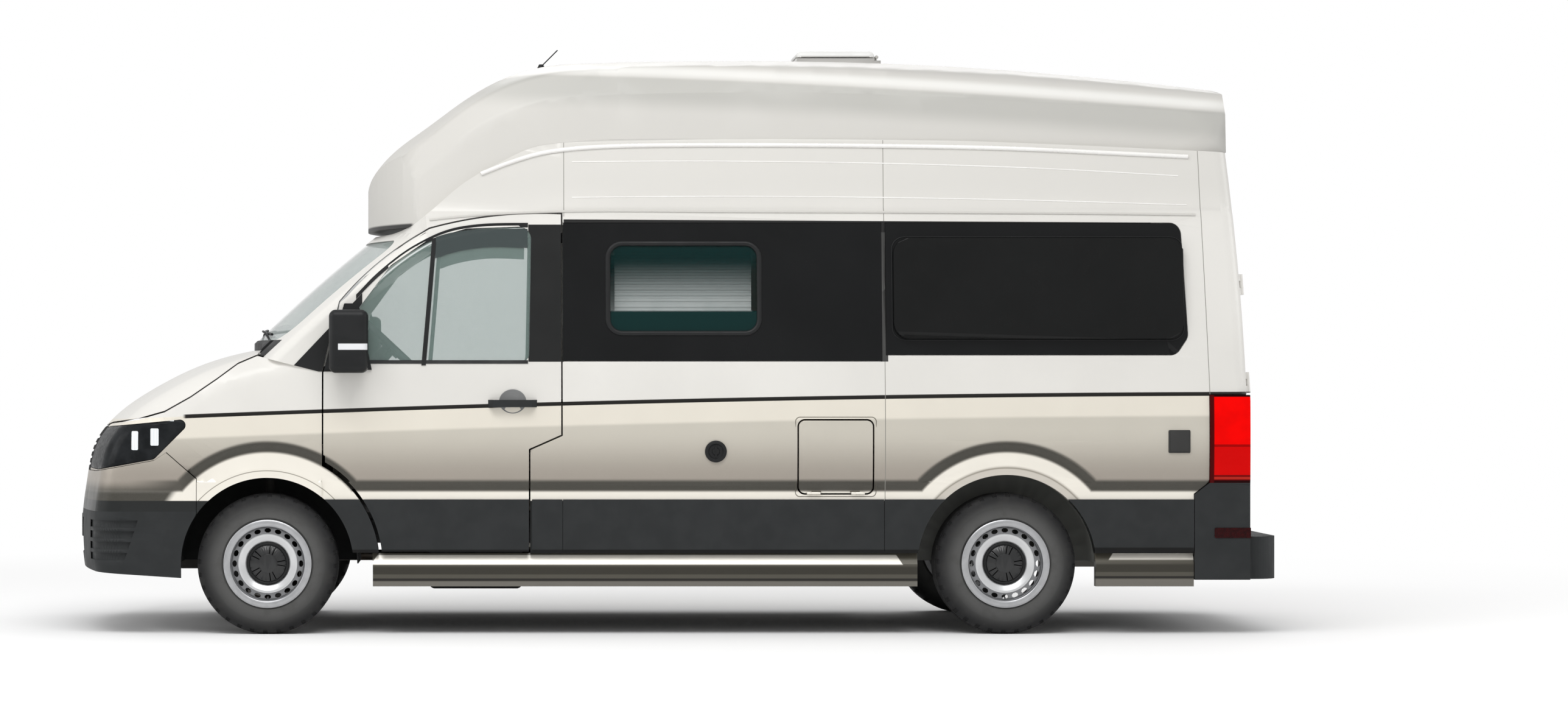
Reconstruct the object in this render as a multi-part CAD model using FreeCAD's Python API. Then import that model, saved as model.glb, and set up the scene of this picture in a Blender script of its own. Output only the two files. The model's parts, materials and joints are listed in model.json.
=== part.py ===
import FreeCAD, Part
import math
import os
from FreeCAD import Vector

# A high-roof camper van. The front faces -X, the driver's side is -Y, the ground is z = 0
# and the origin lies under the middle of the whole vehicle. All lengths are millimetres.

# Driving sizes
body_length = 5986
wheelbase = 3640
front_overhang = 991
body_width = 2040
roof_height = 2890
tyre_radius = 347
tyre_width = 235
front_track = 1746
rear_track = 1718

# Walls, gaps and clearances
wall = 60
skin = 22
shut_gap = 8
shut_step = 14
panel_gap = 3
seat_gap = 0.3
run_gap = 5
overrun = 40
glass_thickness = 6
glass_sink = 5

# Stations along the body, measured back from the front axle
cowl_back = -119
door_front_back = 269
windscreen_top_back = 502
door_rear_back = 1455
flap_front_back = 1296
mid_seam_back = 3038
# Stations measured back from the rear axle
rear_seam_low_back = 999

# Levels above the ground
skirt_z = 237
sill_low_z = 346
sill_z = 400
cladding_z = 665
crease_low_z = 735
crease_high_z = 765
belt_z = 1150
window_sill_z = 1343
window_mid_z = 1640
gutter_z = 2086
rail_z = 2104
upper_mid_z = 2260
steel_top_z = 2445
cap_z = 2560
floor_z = 600
floor_thickness = 40

# How far the side lies inside the widest line at each level
skirt_tuck = 17
crease_tuck = 8
belt_tuck = 6
window_tuck = 44
gutter_tuck = 92
rail_tuck = 104
upper_tuck = 114
top_tuck = 134
cap_tuck = 138

# Nose and windscreen
nose_turn = 2200
hood_nose_setback = 120
hood_nose_z = 1024
hood_rear_z = 1402
bumper_low_tuck = 20
nose_corner_radius = 150
pillar_radius = 60
windscreen_top_z = 1985
screen_low_z = 1452
screen_high_z = 1948
screen_low_half = 870
screen_high_half = 800
screen_corner = 90

# Rear face
rear_turn = 9000
rear_face_setback = 112
rear_mid_z = 1800
rear_mid_lean = 38
rear_top_lean = 120
rear_corner_radius = 70

# Wheel arches
front_arch_radius = 425
rear_arch_radius = 439
crease_arch_radius = 604
valley_arch_radius = 568
lip_arch_radius = 470
door_arch_radius = 560

# Side outlines, each list holding shares of the length and height that it follows
hood_seam_shares = ((-0.06, 0.71), (0.124, 0.722), (0.195, 0.738), (0.356, 0.753), (0.491, 0.78), (0.619, 0.831),
                    (0.75, 0.895), (0.851, 0.949), (0.945, 0.978))
lamp_shares = ((0.003, 0.585), (0.003, 0.699), (0.195, 0.727), (0.635, 0.757), (0.437, 0.617), (0.144, 0.579))
bumper_seam_shares = ((-0.06, 0.565), (0.134, 0.571), (0.437, 0.61), (0.498, 0.638), (0.647, 0.546))
steel_line_shares = ((0, 0), (0.05, 0.1), (0.1, 0.5), (0.148, 0.77), (0.178, 0.904), (0.212, 0.96), (0.383, 1),
                     (0.56, 1), (0.775, 0.935), (0.904, 0.876), (1, 0.83))
door_top_shares = ((0.07, 0.44), (0.247, 0.705), (0.446, 0.9), (0.7, 0.975), (1, 0.99))
door_window_shares = ((0.12, 0), (0.15, 0.35), (0.285, 0.64), (0.44, 0.81), (0.6, 0.885), (0.87, 0.9), (0.86, 0))
door_window_corner_shares = (0.5, 1, 1, 1, 1, 1, 0.6)
roof_nose_shares = ((0, 0.235, 0.08, 0.9), (0.02, 0.41, 0.14, 0.925), (0.0666, 0.597, 0.295, 0.965),
                    (0.113, 0.761, 0.489, 0.995), (0.16, 0.892, 0.625, 1.005), (0.207, 0.964, 0.699, 1.01),
                    (0.252, 0.986, 0.731, 1.01), (0.3, 0.994, 0.746, 1.01))
roof_long_shares = ((0.3, 0.994, 0.746, 1.01), (0.47, 1, 0.757, 1.005), (0.65, 0.98, 0.733, 1),
                    (0.83, 0.92, 0.689, 0.99), (1, 0.83, 0.634, 0.98))

# Body details
cladding_proud = 12
bulge_proud = 32
pillar_foot_z = 1290
flap_top_z = 978
flap_slope = 70
door_window_corner = 60
fender_in_y = 563
cowl_drop = 30
lamp_in_y = 560
lamp_corner = 25
lip_front_z = 318
lip_rear_z = 250
bumper_split_z = 605
intake_half = 520
intake_low_z = 380
intake_high_z = 560
slat_count = 5
grille_half = 500
window_back = 1678
window_length = 747
window_low_z = 1482
window_high_z = 1926
window_corner = 70
band_high_z = 2030
band_corner = 60
band_rear_back = 898
bulge_front_back = -555
bulge_rear_back = 871
bulge_low_z = 1455
bulge_high_z = 1953
bulge_corner = 80
hatch_front_back = -1023
hatch_length = 363
hatch_low_z = 696
hatch_high_z = 1053
hatch_corner = 30
slide_length = 1290
slide_corner = 60
handle_length = 261
handle_height = 36
handle_out = 36
handle_bar = 14
handle_round = 12
handle_foot_share = 0.36
handle_back = 1208
handle_z = 1137
slide_handle_back = 1640
corner_intake_shares = (0.105, 0.36)
corner_low_z = 352
corner_high_z = 566
corner_slots = 4

# Rear end
rear_door_half = 925
rear_door_top_half = 805
rear_door_low_z = 505
rear_door_high_z = 2330
rear_door_corner = 60
rear_depth = 260
rear_window_in = 130
rear_window_out = 120
rear_window_low_z = 1430
rear_window_high_z = 1960
rear_window_corner = 70
bumper_side_back = 925
bumper_side_z = 690
bumper_top_z = 747
bumper_low_z = 270
tail_high_z = 1179
step_half = 940
step_inset = 260
step_corner = 130
step_high_z = 480

# Roof shell
roof_front_back = 467
roof_rear_setback = 248
roof_base_z = 2010
roof_half = 860
roof_foot_out = 52
roof_shoulder_in = 85
roof_shoulder_share = 0.62
roof_wall = 30
roof_plan_radius = 1500
nose_floor_run = 240
skylight_back = 970
skylight_length = 400
skylight_half = 200
hatch_sink = 10
hatch_rise = 12
lid_rise = 50

# Small pin hinges
pin_wall = 4
lid_pin = 5
lid_knuckle = 30
lid_pin_back = 16
hatch_pin = 3
hatch_knuckle = 22
hatch_pin_out = 12
hood_pin = 5
hood_knuckle = 16
hood_hinge_y = 720
hood_pin_back = 64
hood_pin_rise = 15
hood_leaf_run = 154
hood_leaf_drop = 53
rear_pin = 6
rear_knuckle = 34
rear_pin_out = 14
rear_hinge_low_z = 1240
rear_hinge_high_z = 1725

# Door hinges
hinge_forward = 56
hinge_inboard = 42
hinge_barrel = 11
hinge_pin = 5
hinge_height = 30
hinge_leaf = 8
post_out_y = 930
post_low_z = 860
door_hinge_levels = (905, 1080)
neck_shares = ((0, 0), (0.52, 1.42), (1.27, 1.05), (1.72, 0.2))
door_lip = 4
lip_step = 8

# Wheels
rim_radius = 203
rim_wall = 10
flange_rise = 14
bead_rise = 22
shoulder_drop = 14
disc_face = 66
disc_dish = 14
disc_thick = 10
disc_step = 16
ring_out = 182
ring_in = 146
cap_radius = 104
hub_bore = 40
cap_rise = 22
boss_radius = 45
vent_count = 20
vent_radius = 12
vent_length = 17
hub_radius = 70
hub_back = 30
brake_radius = 150
brake_thick = 26
spindle_radius = 28
carrier_radius = 60
king_foot_y = 800
king_lean = 11.1
strut_radius = 24
strut_top_z = 1080
arm_z = 190
strut_room = 14

# Underbody
front_house_in = 530
rear_house_in = 620
liner_gap = 16
liner_wall = 6
rail_y = 470
rail_width = 80
rail_height = 130
rail_front = 220
rail_rear = 240
cross_shares = (0.25, 0.4, 0.55, 0.7, 0.86, 1.14)
firewall_setback = 70
firewall_z = 1350
sill_in = 948
sill_out = 1002
beam_half = 130
leg_half = 26
beam_depth = 55
engine_front = 700
engine_back = 160
engine_half = 290
engine_low_z = 290
engine_top_z = 940
radiator_setback = 230
radiator_z = 900
shaft_radius = 15
axle_radius = 45
spring_half = 640
spring_width = 66
spring_thick = 24
tank_back = 790
tank_length = 470
tank_side = 40
tank_right = 150
tank_low_z = 198
tank_round = 30
muffler_back = 2300
muffler_length = 620
muffler_y = 230
muffler_z = 335
muffler_radius = 95
pipe_radius = 28

# Mirrors
mirror_back = 42
mirror_depth = 190
mirror_in = 1045
mirror_out = 1215
mirror_low_z = 1287
mirror_high_z = 1596
mirror_round = 34
mirror_lip = 12
arm_height = 70
sail_low = 12
sail_length = 235
sail_height = 340

# Cab and living space
dash_front_back = 96
dash_rear_back = 510
dash_top_z = 1330
dash_half = 850
console_half = 220
dash_shares = ((0, 0), (0.3, 0), (0.45, 0.5), (1, 0.55), (0.9, 0.9), (0.55, 1), (0, 0.94))
wheel_back = 600
wheel_z = 1425
wheel_lean = 43
wheel_ring = 182
wheel_grip = 15
hub_round = 60
hub_thick = 34
column_radius = 36
column_length = 250
spoke_radius = 9
spoke_shares = (0.25, 0.75, 0)
seat_y = 450
seat_back_station = 830
seat_base = 420
seat_base_z = 880
seat_half = 255
cushion_front = 130
cushion_length = 500
cushion_thick = 130
back_thick = 115
back_lean = 150
back_height = 680
head_half = 130
head_rise = 45
head_height = 190
post_radius = 7
soft_round = 35
living_half = 868
bench_back = 1500
bench_length = 430
bench_width = 1000
bench_z = 980
kitchen_back = 2300
kitchen_depth = 500
kitchen_z = 1460
wash_back = 2480
wash_depth = 800
wash_z = 2060
bed_front_back = -480
bed_z = 1080

# Antenna
antenna_x_back = 1362
antenna_sink = 30
antenna_base = 22
antenna_radius = 3
antenna_length = 120

# Derived stations
half_length = body_length / 2
body_half = body_width / 2
front_x = -half_length
rear_x = half_length
front_axle_x = front_x + front_overhang
rear_axle_x = front_axle_x + wheelbase
axle_z = tyre_radius
cowl_x = front_axle_x + cowl_back
door_front_x = front_axle_x + door_front_back
windscreen_top_x = front_axle_x + windscreen_top_back
door_rear_x = front_axle_x + door_rear_back
flap_front_x = front_axle_x + flap_front_back
mid_seam_x = front_axle_x + mid_seam_back
hood_nose_x = front_x + hood_nose_setback
turn_x = front_axle_x + nose_turn
rear_face_x = rear_x - rear_face_setback
rear_turn_x = rear_face_x - rear_turn
window_x0 = front_axle_x + window_back
window_x1 = window_x0 + window_length
band_rear_x = rear_axle_x + band_rear_back
bulge_x0 = rear_axle_x + bulge_front_back
bulge_x1 = rear_axle_x + bulge_rear_back
hatch_x0 = rear_axle_x + hatch_front_back
hatch_x1 = hatch_x0 + hatch_length
slide_rear_x = door_rear_x + slide_length
bumper_side_x = rear_axle_x + bumper_side_back
rear_seam_x = rear_axle_x + rear_seam_low_back
roof_front_x = front_axle_x + roof_front_back
roof_rear_x = rear_x - roof_rear_setback
skylight_x0 = rear_axle_x - skylight_back
skylight_x1 = skylight_x0 + skylight_length
firewall_x = front_axle_x + firewall_setback
engine_x0 = front_axle_x - engine_front
engine_x1 = front_axle_x - engine_back
radiator_x = front_x + radiator_setback
tank_x = front_axle_x + tank_back
muffler_x = front_axle_x + muffler_back
dash_front_x = front_axle_x + dash_front_back
dash_rear_x = front_axle_x + dash_rear_back
wheel_x = front_axle_x + wheel_back
seat_x = front_axle_x + seat_back_station
bench_x = front_axle_x + bench_back
kitchen_x = front_axle_x + kitchen_back
wash_x = front_axle_x + wash_back
bed_x = rear_axle_x + bed_front_back
antenna_x = front_axle_x + antenna_x_back

origin = Vector(0, 0, 0)
axis_x = Vector(1, 0, 0)
axis_y = Vector(0, 1, 0)
axis_z = Vector(0, 0, 1)
made = {}


# Drawing helpers

def side_point(x, z, y=0):
    return Vector(x, y, z)


def mirrored(shape):
    return shape.mirror(origin, axis_y)


def box(x0, x1, y0, y1, z0, z1):
    return Part.makeBox(x1 - x0, y1 - y0, z1 - z0, Vector(x0, y0, z0))


def rounded_wire(points, radii):
    # Closed outline through the points, each corner an arc of its own radius.
    count = len(points)
    edges = []
    ends = []
    for i, corner in enumerate(points):
        before = (points[i - 1] - corner).normalize()
        after = (points[(i + 1) % count] - corner).normalize()
        radius = radii[i]
        if radius <= 0:
            ends.append((corner, corner))
            continue
        half_angle = before.getAngle(after) / 2
        reach = radius / math.tan(half_angle)
        to_centre = (before + after).normalize() * (radius / math.sin(half_angle))
        middle = corner + to_centre - to_centre.normalize() * radius
        start = corner + before * reach
        end = corner + after * reach
        ends.append((start, end))
        edges.append(Part.Arc(start, middle, end).toShape())
    for i in range(count):
        start = ends[i - 1][1]
        end = ends[i][0]
        if not start.isEqual(end, seat_gap / 100):
            edges.append(Part.makeLine(start, end))
    return Part.Wire(Part.__sortEdges__(edges))


def rounded_prism(points, radii, direction):
    return Part.Face(rounded_wire(points, radii)).extrude(direction)


def polygon_prism(points, direction):
    return Part.Face(Part.makePolygon(list(points) + [points[0]])).extrude(direction)


def spline(points):
    curve = Part.BSplineCurve()
    curve.interpolate(points)
    return curve.toShape()


def cylinder_y(x, z, radius, y0, y1):
    return Part.makeCylinder(radius, y1 - y0, Vector(x, y0, z), axis_y)


def fused(shapes):
    shape = shapes[0]
    if len(shapes) > 1:
        shape = shape.fuse(shapes[1:])
    return shape.removeSplitter()


def solids_of(shape, least_share=0.001):
    # Only real pieces: slivers left along a seam are dropped.
    solids = shape.Solids
    largest = max(s.Volume for s in solids)
    return [s for s in solids if s.Volume > largest * least_share]


def keep(name, shapes):
    if not isinstance(shapes, (list, tuple)):
        shapes = [shapes]
    parts = []
    for shape in shapes:
        parts.extend(solids_of(shape))
    made[name] = Part.makeCompound(parts) if len(parts) > 1 else parts[0]


# Body envelope: the side section drawn along the body, met by the front and rear faces
# that turn about far upright axes, so that both are gently curved in plan.

def half_section(inset, sign, with_crease):
    def at(tuck, z):
        return Vector(0, sign * (body_half - tuck - inset), z)
    widest_mid = (crease_high_z + belt_z) / 2
    edges = []
    if with_crease:
        edges.append(Part.makeLine(at(skirt_tuck, skirt_z), at(skirt_tuck, crease_low_z)))
        edges.append(Part.makeLine(at(skirt_tuck, crease_low_z), at(crease_tuck, crease_high_z)))
        edges.append(Part.Arc(at(crease_tuck, crease_high_z), at(0, widest_mid), at(belt_tuck, belt_z)).toShape())
    else:
        edges.append(Part.Arc(at(skirt_tuck, skirt_z), at(0, widest_mid), at(belt_tuck, belt_z)).toShape())
    edges.append(Part.Arc(at(belt_tuck, belt_z), at(window_tuck, window_mid_z), at(gutter_tuck, gutter_z)).toShape())
    edges.append(Part.makeLine(at(gutter_tuck, gutter_z), at(rail_tuck, rail_z)))
    edges.append(Part.Arc(at(rail_tuck, rail_z), at(upper_tuck, upper_mid_z), at(top_tuck, steel_top_z)).toShape())
    edges.append(Part.makeLine(at(top_tuck, steel_top_z), at(cap_tuck, cap_z)))
    return edges


def section_solid(inset, x0, x1, with_crease=True):
    right = half_section(inset, 1, with_crease)
    left = half_section(inset, -1, with_crease)
    low = skirt_z
    bottom = Part.makeLine(Vector(0, body_half - skirt_tuck - inset, low), Vector(0, -(body_half - skirt_tuck - inset), low))
    top = Part.makeLine(Vector(0, body_half - cap_tuck - inset, cap_z), Vector(0, -(body_half - cap_tuck - inset), cap_z))
    wire = Part.Wire(Part.__sortEdges__(right + left + [bottom, top]))
    face = Part.Face(wire)
    face.translate(Vector(x0, 0, 0))
    return face.extrude(Vector(x1 - x0, 0, 0))


def turned_solid(edges, turn_axis_x, sweep_angle):
    face = Part.Face(Part.Wire(Part.__sortEdges__(edges)))
    face.rotate(Vector(turn_axis_x, 0, 0), axis_z, -sweep_angle / 2)
    return face.revolve(Vector(turn_axis_x, 0, 0), axis_z, sweep_angle)


# Hood line from the nose to the cowl, as shares of its length and rise.
hood_line_shares = ((0, 0), (0.11, 0.21), (0.33, 0.5), (0.6, 0.77), (0.86, 0.94), (1, 1))
nose_turn_angle = 86
inset_lean_share = 0.72


def nose_solid(inset):
    # The whole front forward of the doors, hood height at its top.
    shift = inset * inset_lean_share
    hood_run = cowl_x - hood_nose_x
    hood_rise = hood_rear_z - hood_nose_z
    points = [
        side_point(front_x + bumper_low_tuck, skirt_z),
        side_point(front_x, cladding_z - overrun),
        side_point(front_x + bumper_low_tuck, crease_high_z),
        side_point((front_x + hood_nose_x) / 2, (crease_high_z + hood_nose_z) / 2 + overrun),
    ]
    points += [side_point(hood_nose_x + u * hood_run, hood_nose_z + v * hood_rise) for u, v in hood_line_shares]
    points = [p + Vector(shift, 0, 0 if p.z <= skirt_z else -shift) for p in points]
    rear = side_point(windscreen_top_x, points[-1].z + hood_rise / 4)
    low_rear = side_point(windscreen_top_x, skirt_z)
    tip_rear = side_point(turn_x, rear.z)
    tip_low = side_point(turn_x, skirt_z)
    edges = [spline(points + [rear]), Part.makeLine(rear, tip_rear), Part.makeLine(tip_rear, tip_low)]
    edges.append(Part.makeLine(tip_low, points[0]))
    turned = turned_solid(edges, turn_x, nose_turn_angle)
    solid = section_solid(inset, front_x + shift, door_front_x, False).common(turned)
    corner = []
    for edge in solid.Edges:
        bounds = edge.BoundBox
        if bounds.YMax * bounds.YMin > 0 and bounds.ZLength > overrun and bounds.XLength > overrun:
            corner.append(edge)
    return solid.makeFillet(nose_corner_radius - inset, corner)


def cabin_solid(inset):
    # Everything from the windscreen back to the rear face.
    shift = inset * inset_lean_share
    screen_run = windscreen_top_x - cowl_x
    screen_rise = windscreen_top_z - hood_rear_z
    low_x = cowl_x - screen_run / 2
    low_z = hood_rear_z - screen_rise / 2
    top = side_point(windscreen_top_x + shift, windscreen_top_z - shift)
    low = side_point(low_x + shift, low_z - shift)
    lift = overrun
    crown = side_point((top.x + low.x) / 2 - lift / 2, (top.z + low.z) / 2 + lift / 2)
    edges = [
        Part.Arc(low, crown, top).toShape(),
        Part.makeLine(top, side_point(top.x, cap_z)),
        Part.makeLine(side_point(top.x, cap_z), side_point(turn_x, cap_z)),
        Part.makeLine(side_point(turn_x, cap_z), side_point(turn_x, skirt_z)),
        Part.makeLine(side_point(turn_x, skirt_z), side_point(low.x, skirt_z)),
        Part.makeLine(side_point(low.x, skirt_z), low),
    ]
    turned = turned_solid(edges, turn_x, nose_turn_angle * 2)
    front = section_solid(inset, low_x - overrun, door_rear_x).common(turned)
    if inset == 0:
        pillars = []
        for edge in front.Edges:
            bounds = edge.BoundBox
            on_side = bounds.YMax * bounds.YMin > 0
            if on_side and bounds.ZLength > overrun and bounds.XLength > screen_rise / 2:
                pillars.append(edge)
        front = front.makeFillet(pillar_radius, pillars)
    rear_high = side_point(rear_face_x - rear_top_lean - inset, cap_z)
    rear_belt = side_point(rear_face_x - inset, belt_z)
    rear_mid = side_point(rear_face_x - rear_mid_lean - inset, rear_mid_z)
    rear_low = side_point(rear_face_x - inset, skirt_z)
    edges = [
        Part.makeLine(rear_low, rear_belt),
        Part.Arc(rear_belt, rear_mid, rear_high).toShape(),
        Part.makeLine(rear_high, side_point(door_rear_x, cap_z)),
        Part.makeLine(side_point(door_rear_x, cap_z), side_point(door_rear_x, skirt_z)),
        Part.makeLine(side_point(door_rear_x, skirt_z), rear_low),
    ]
    rear_angle = 2 * math.degrees(math.asin((body_half + overrun) / (rear_turn / 3)))
    turned = turned_solid(edges, rear_turn_x, rear_angle)
    rear = section_solid(inset, door_rear_x, rear_x).common(turned.fuse(
        box(door_rear_x - overrun, door_rear_x + wheelbase / 2, -body_half, body_half, skirt_z, cap_z)))
    if inset == 0:
        corners = []
        for edge in rear.Edges:
            bounds = edge.BoundBox
            on_side = bounds.YMax * bounds.YMin > 0
            if on_side and bounds.XMin > rear_axle_x + rear_seam_low_back / 2 and bounds.ZLength > 0 \
                    and bounds.XMax < rear_x and bounds.YLength < bounds.ZLength * 2:
                corners.append(edge)
        rear = rear.makeFillet(rear_corner_radius, corners)
    return front.fuse(rear)



# Sheets and blocks of the body, made once and cut into panels below.
nose_outer = nose_solid(0)
nose_sheet = nose_outer.cut(nose_solid(skin))
cabin_outer = cabin_solid(0)
cabin_skin = cabin_solid(skin)
cabin_inner = cabin_solid(wall)
glass_outer = cabin_solid(glass_sink)
glass_inner = cabin_solid(glass_sink + glass_thickness)
trim_outer = cabin_solid(-cladding_proud)
bulge_outer = cabin_solid(-bulge_proud)
cabin_wall = cabin_outer.cut(cabin_inner)
skin_layer = cabin_outer.cut(cabin_skin)
core_layer = cabin_skin.cut(cabin_inner)
glass_layer = glass_outer.cut(glass_inner)
flush_layer = cabin_outer.cut(glass_inner)
trim_layer = trim_outer.cut(cabin_outer)
lip_layer = cabin_outer.cut(cabin_solid(door_lip))

far_half = body_half + 2 * overrun
near_half = body_half / 2
left_depth = Vector(0, -(far_half - near_half), 0)
left_start = -near_half


def left_prism(points, radii=None):
    # Side outline drawn through the left wall only.
    places = [Vector(p[0], left_start, p[1]) for p in points]
    if radii is None:
        return polygon_prism(places, left_depth)
    return rounded_prism(places, radii, left_depth)


def through_prism(points):
    # Side outline drawn through the whole width.
    places = [Vector(p[0], -far_half, p[1]) for p in points]
    return polygon_prism(places, Vector(0, 2 * far_half, 0))


def at_nose(u, v):
    return (front_x + u * front_overhang, v * hood_rear_z)


def wire_prism(wire, grow=0):
    # Left prism of a side wire, grown or shrunk by an offset.
    shape = wire.makeOffset2D(grow) if grow else wire
    face = Part.Face(shape)
    face.translate(Vector(0, left_start, 0))
    return face.extrude(left_depth)


# Cut lines of the side

def steel_line_points():
    run = rear_x - windscreen_top_x
    rise = steel_top_z - windscreen_top_z
    return [side_point(windscreen_top_x + u * run, windscreen_top_z + v * rise) for u, v in steel_line_shares]


def above_steel(drop=0):
    # Everything above the line where the steel body ends and the roof shell begins.
    points = [p - Vector(0, 0, drop) for p in steel_line_points()]
    start = points[0] + Vector(-windscreen_top_back, 0, 0)
    end = points[-1] + Vector(overrun, 0, 0)
    top = Vector(0, 0, roof_height)
    edges = [Part.makeLine(start, points[0]), spline(points), Part.makeLine(points[-1], end)]
    edges += [Part.makeLine(end, end + top), Part.makeLine(end + top, start + top), Part.makeLine(start + top, start)]
    face = Part.Face(Part.Wire(edges))
    face.translate(Vector(0, -far_half, 0))
    return face.extrude(Vector(0, 2 * far_half, 0))


def arch_point(radius, x):
    # Point of the front arch circle behind the axle at station x.
    return side_point(x, axle_z + math.sqrt(radius ** 2 - (x - front_axle_x) ** 2))


def door_wire():
    # Outline of the cab door opening in the side view.
    radius = door_arch_radius
    high = arch_point(radius, door_front_x)
    low_x = front_axle_x + math.sqrt(radius ** 2 - (sill_z - axle_z) ** 2)
    low = side_point(low_x, sill_z)
    turn = (math.atan2(high.z - axle_z, high.x - front_axle_x) + math.atan2(low.z - axle_z, low.x - front_axle_x)) / 2
    middle = side_point(front_axle_x + radius * math.cos(turn), axle_z + radius * math.sin(turn))
    run = door_rear_x - door_front_x
    rise = gutter_z - pillar_foot_z
    top = [side_point(door_front_x + u * run, pillar_foot_z + v * rise) for u, v in door_top_shares]
    rear_low = side_point(door_rear_x, flap_top_z)
    jog = side_point(flap_front_x, flap_top_z - flap_slope)
    foot = side_point(flap_front_x, sill_z)
    front_low = side_point(door_front_x, pillar_foot_z)
    edges = [
        Part.Arc(low, middle, high).toShape(),
        Part.makeLine(high, front_low),
        Part.makeLine(front_low, top[0]),
        Part.Arc(top[0], top[1], top[2]).toShape(),
        Part.Arc(top[2], top[3], top[4]).toShape(),
        Part.makeLine(top[4], rear_low),
        Part.makeLine(rear_low, jog),
        Part.makeLine(jog, foot),
        Part.makeLine(foot, low),
    ]
    return Part.Wire(edges)


def door_window_wire(shrink=0):
    run = door_rear_x - door_front_x
    rise = gutter_z - window_sill_z
    points = [Vector(door_front_x + u * run, 0, window_sill_z + v * rise) for u, v in door_window_shares]
    wire = rounded_wire(points, [r * door_window_corner for r in door_window_corner_shares])
    return wire.makeOffset2D(-shrink) if shrink else wire


def rear_door_wire(shrink=0):
    # Outline of the left rear door seen from behind.
    points = [Vector(0, -y, z) for y, z in (
        (0, rear_door_low_z), (rear_door_half, rear_door_low_z), (rear_door_half, belt_z),
        (rear_door_half - gutter_tuck + belt_tuck, gutter_z), (rear_door_top_half, rear_door_high_z),
        (0, rear_door_high_z))]
    radii = (0, rear_door_corner, 0, 0, rear_door_corner, 0)
    wire = rounded_wire(points, radii)
    return wire.makeOffset2D(-shrink) if shrink else wire


def rear_prism(wire):
    face = Part.Face(wire)
    face.translate(Vector(rear_face_x - rear_depth, 0, 0))
    return face.extrude(Vector(rear_depth + 2 * overrun, 0, 0))


def rear_window_wire(shrink=0):
    half = rear_door_half
    points = [Vector(0, -y, z) for y, z in (
        (rear_window_in, rear_window_low_z), (half - rear_window_out, rear_window_low_z),
        (half - rear_window_out - window_tuck, rear_window_high_z), (rear_window_in, rear_window_high_z))]
    wire = rounded_wire(points, [rear_window_corner] * 4)
    return wire.makeOffset2D(-shrink) if shrink else wire


def front_prism(half_low, half_high, low_z, high_z, corner, x0, x1):
    # Trapezium seen from the front, drawn through the windscreen.
    points = [Vector(x0, -half_low, low_z), Vector(x0, half_low, low_z),
              Vector(x0, half_high, high_z), Vector(x0, -half_high, high_z)]
    return rounded_prism(points, [corner] * 4, Vector(x1 - x0, 0, 0))


def rounded_left(x0, x1, z0, z1, corner, grow=0):
    g = grow
    points = [(x0 - g, z0 - g), (x1 + g, z0 - g), (x1 + g, z1 + g), (x0 - g, z1 + g)]
    return left_prism(points, [corner + g] * 4)


def arch_cut(x, radius):
    # Open wheel arch through both sides, down past the skirt.
    hole = cylinder_y(x, axle_z, radius, -far_half, far_half)
    return hole.fuse(box(x - radius, x + radius, -far_half, far_half, 0, axle_z))


def arch_groove(x):
    # Ring cut that leaves a valley round the arch, as the pressed crease line does.
    out_y = body_half + overrun
    profile = [Vector(x, -out_y, axle_z + crease_arch_radius), Vector(x, -(body_half - crease_tuck), axle_z + crease_arch_radius),
               Vector(x, -(body_half - skirt_tuck), axle_z + valley_arch_radius), Vector(x, -body_half, axle_z + lip_arch_radius),
               Vector(x, -out_y, axle_z + lip_arch_radius)]
    face = Part.Face(Part.makePolygon(profile + [profile[0]]))
    ring = face.revolve(Vector(x, 0, axle_z), axis_y, 360)
    return ring.cut(box(x - body_half, x + body_half, -far_half, far_half, 0, (crease_low_z + crease_high_z) / 2))


left_side = box(front_x - overrun, rear_x + overrun, -far_half, 0, 0, roof_height)
roof_cut = above_steel()
door_line = door_wire()
door_hole = wire_prism(door_line)
front_groove = arch_groove(front_axle_x)
rear_groove = arch_groove(rear_axle_x)
front_arch = arch_cut(front_axle_x, front_arch_radius)
rear_arch = arch_cut(rear_axle_x, rear_arch_radius)


# Nose: hood, fenders, lamps, grille and bumper

def hood_region(lift, back=0):
    # Space above the hood's side seams, ending at its rear corners or a little behind them.
    line = [at_nose(u, v) for u, v in hood_seam_shares]
    line = [(x, z + lift) for x, z in line]
    line.append((line[-1][0] + back, line[-1][1]))
    return through_prism(line[:len(line) - (back == 0)] + [(line[-1][0], roof_height), (line[0][0], roof_height)])


def outside_cowl(gap):
    # Space forward of the curved rear edge of the hood.
    radius = turn_x - cowl_x + gap
    return Part.makeCylinder(radius, roof_height, Vector(turn_x, 0, 0))


def lamp_region(grow=0):
    points = [Vector(*((at_nose(u, v)[0]), 0, at_nose(u, v)[1])) for u, v in lamp_shares]
    wire = rounded_wire(points, [lamp_corner] * len(points))
    wire = wire.makeOffset2D(grow) if grow else wire
    face = Part.Face(wire)
    face.translate(Vector(0, -lamp_in_y + grow, 0))
    return face.extrude(Vector(0, -far_half, 0))


def bumper_region(grow=0):
    line = [at_nose(u, v) for u, v in bumper_seam_shares]
    points = [(x + grow * (i > 1), z + grow) for i, (x, z) in enumerate(line)]
    return through_prism(points + [(points[-1][0], 0), (points[0][0], 0)])


def hood_hinge_point(y):
    # Behind the hood's curved rear edge and a little above it, so the edge lifts clear of the cowl.
    edge = turn_x - math.sqrt((turn_x - cowl_x + shut_gap) ** 2 - y ** 2)
    return Vector(edge + hood_pin_back, y, hood_rear_z + hood_pin_rise)


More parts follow.
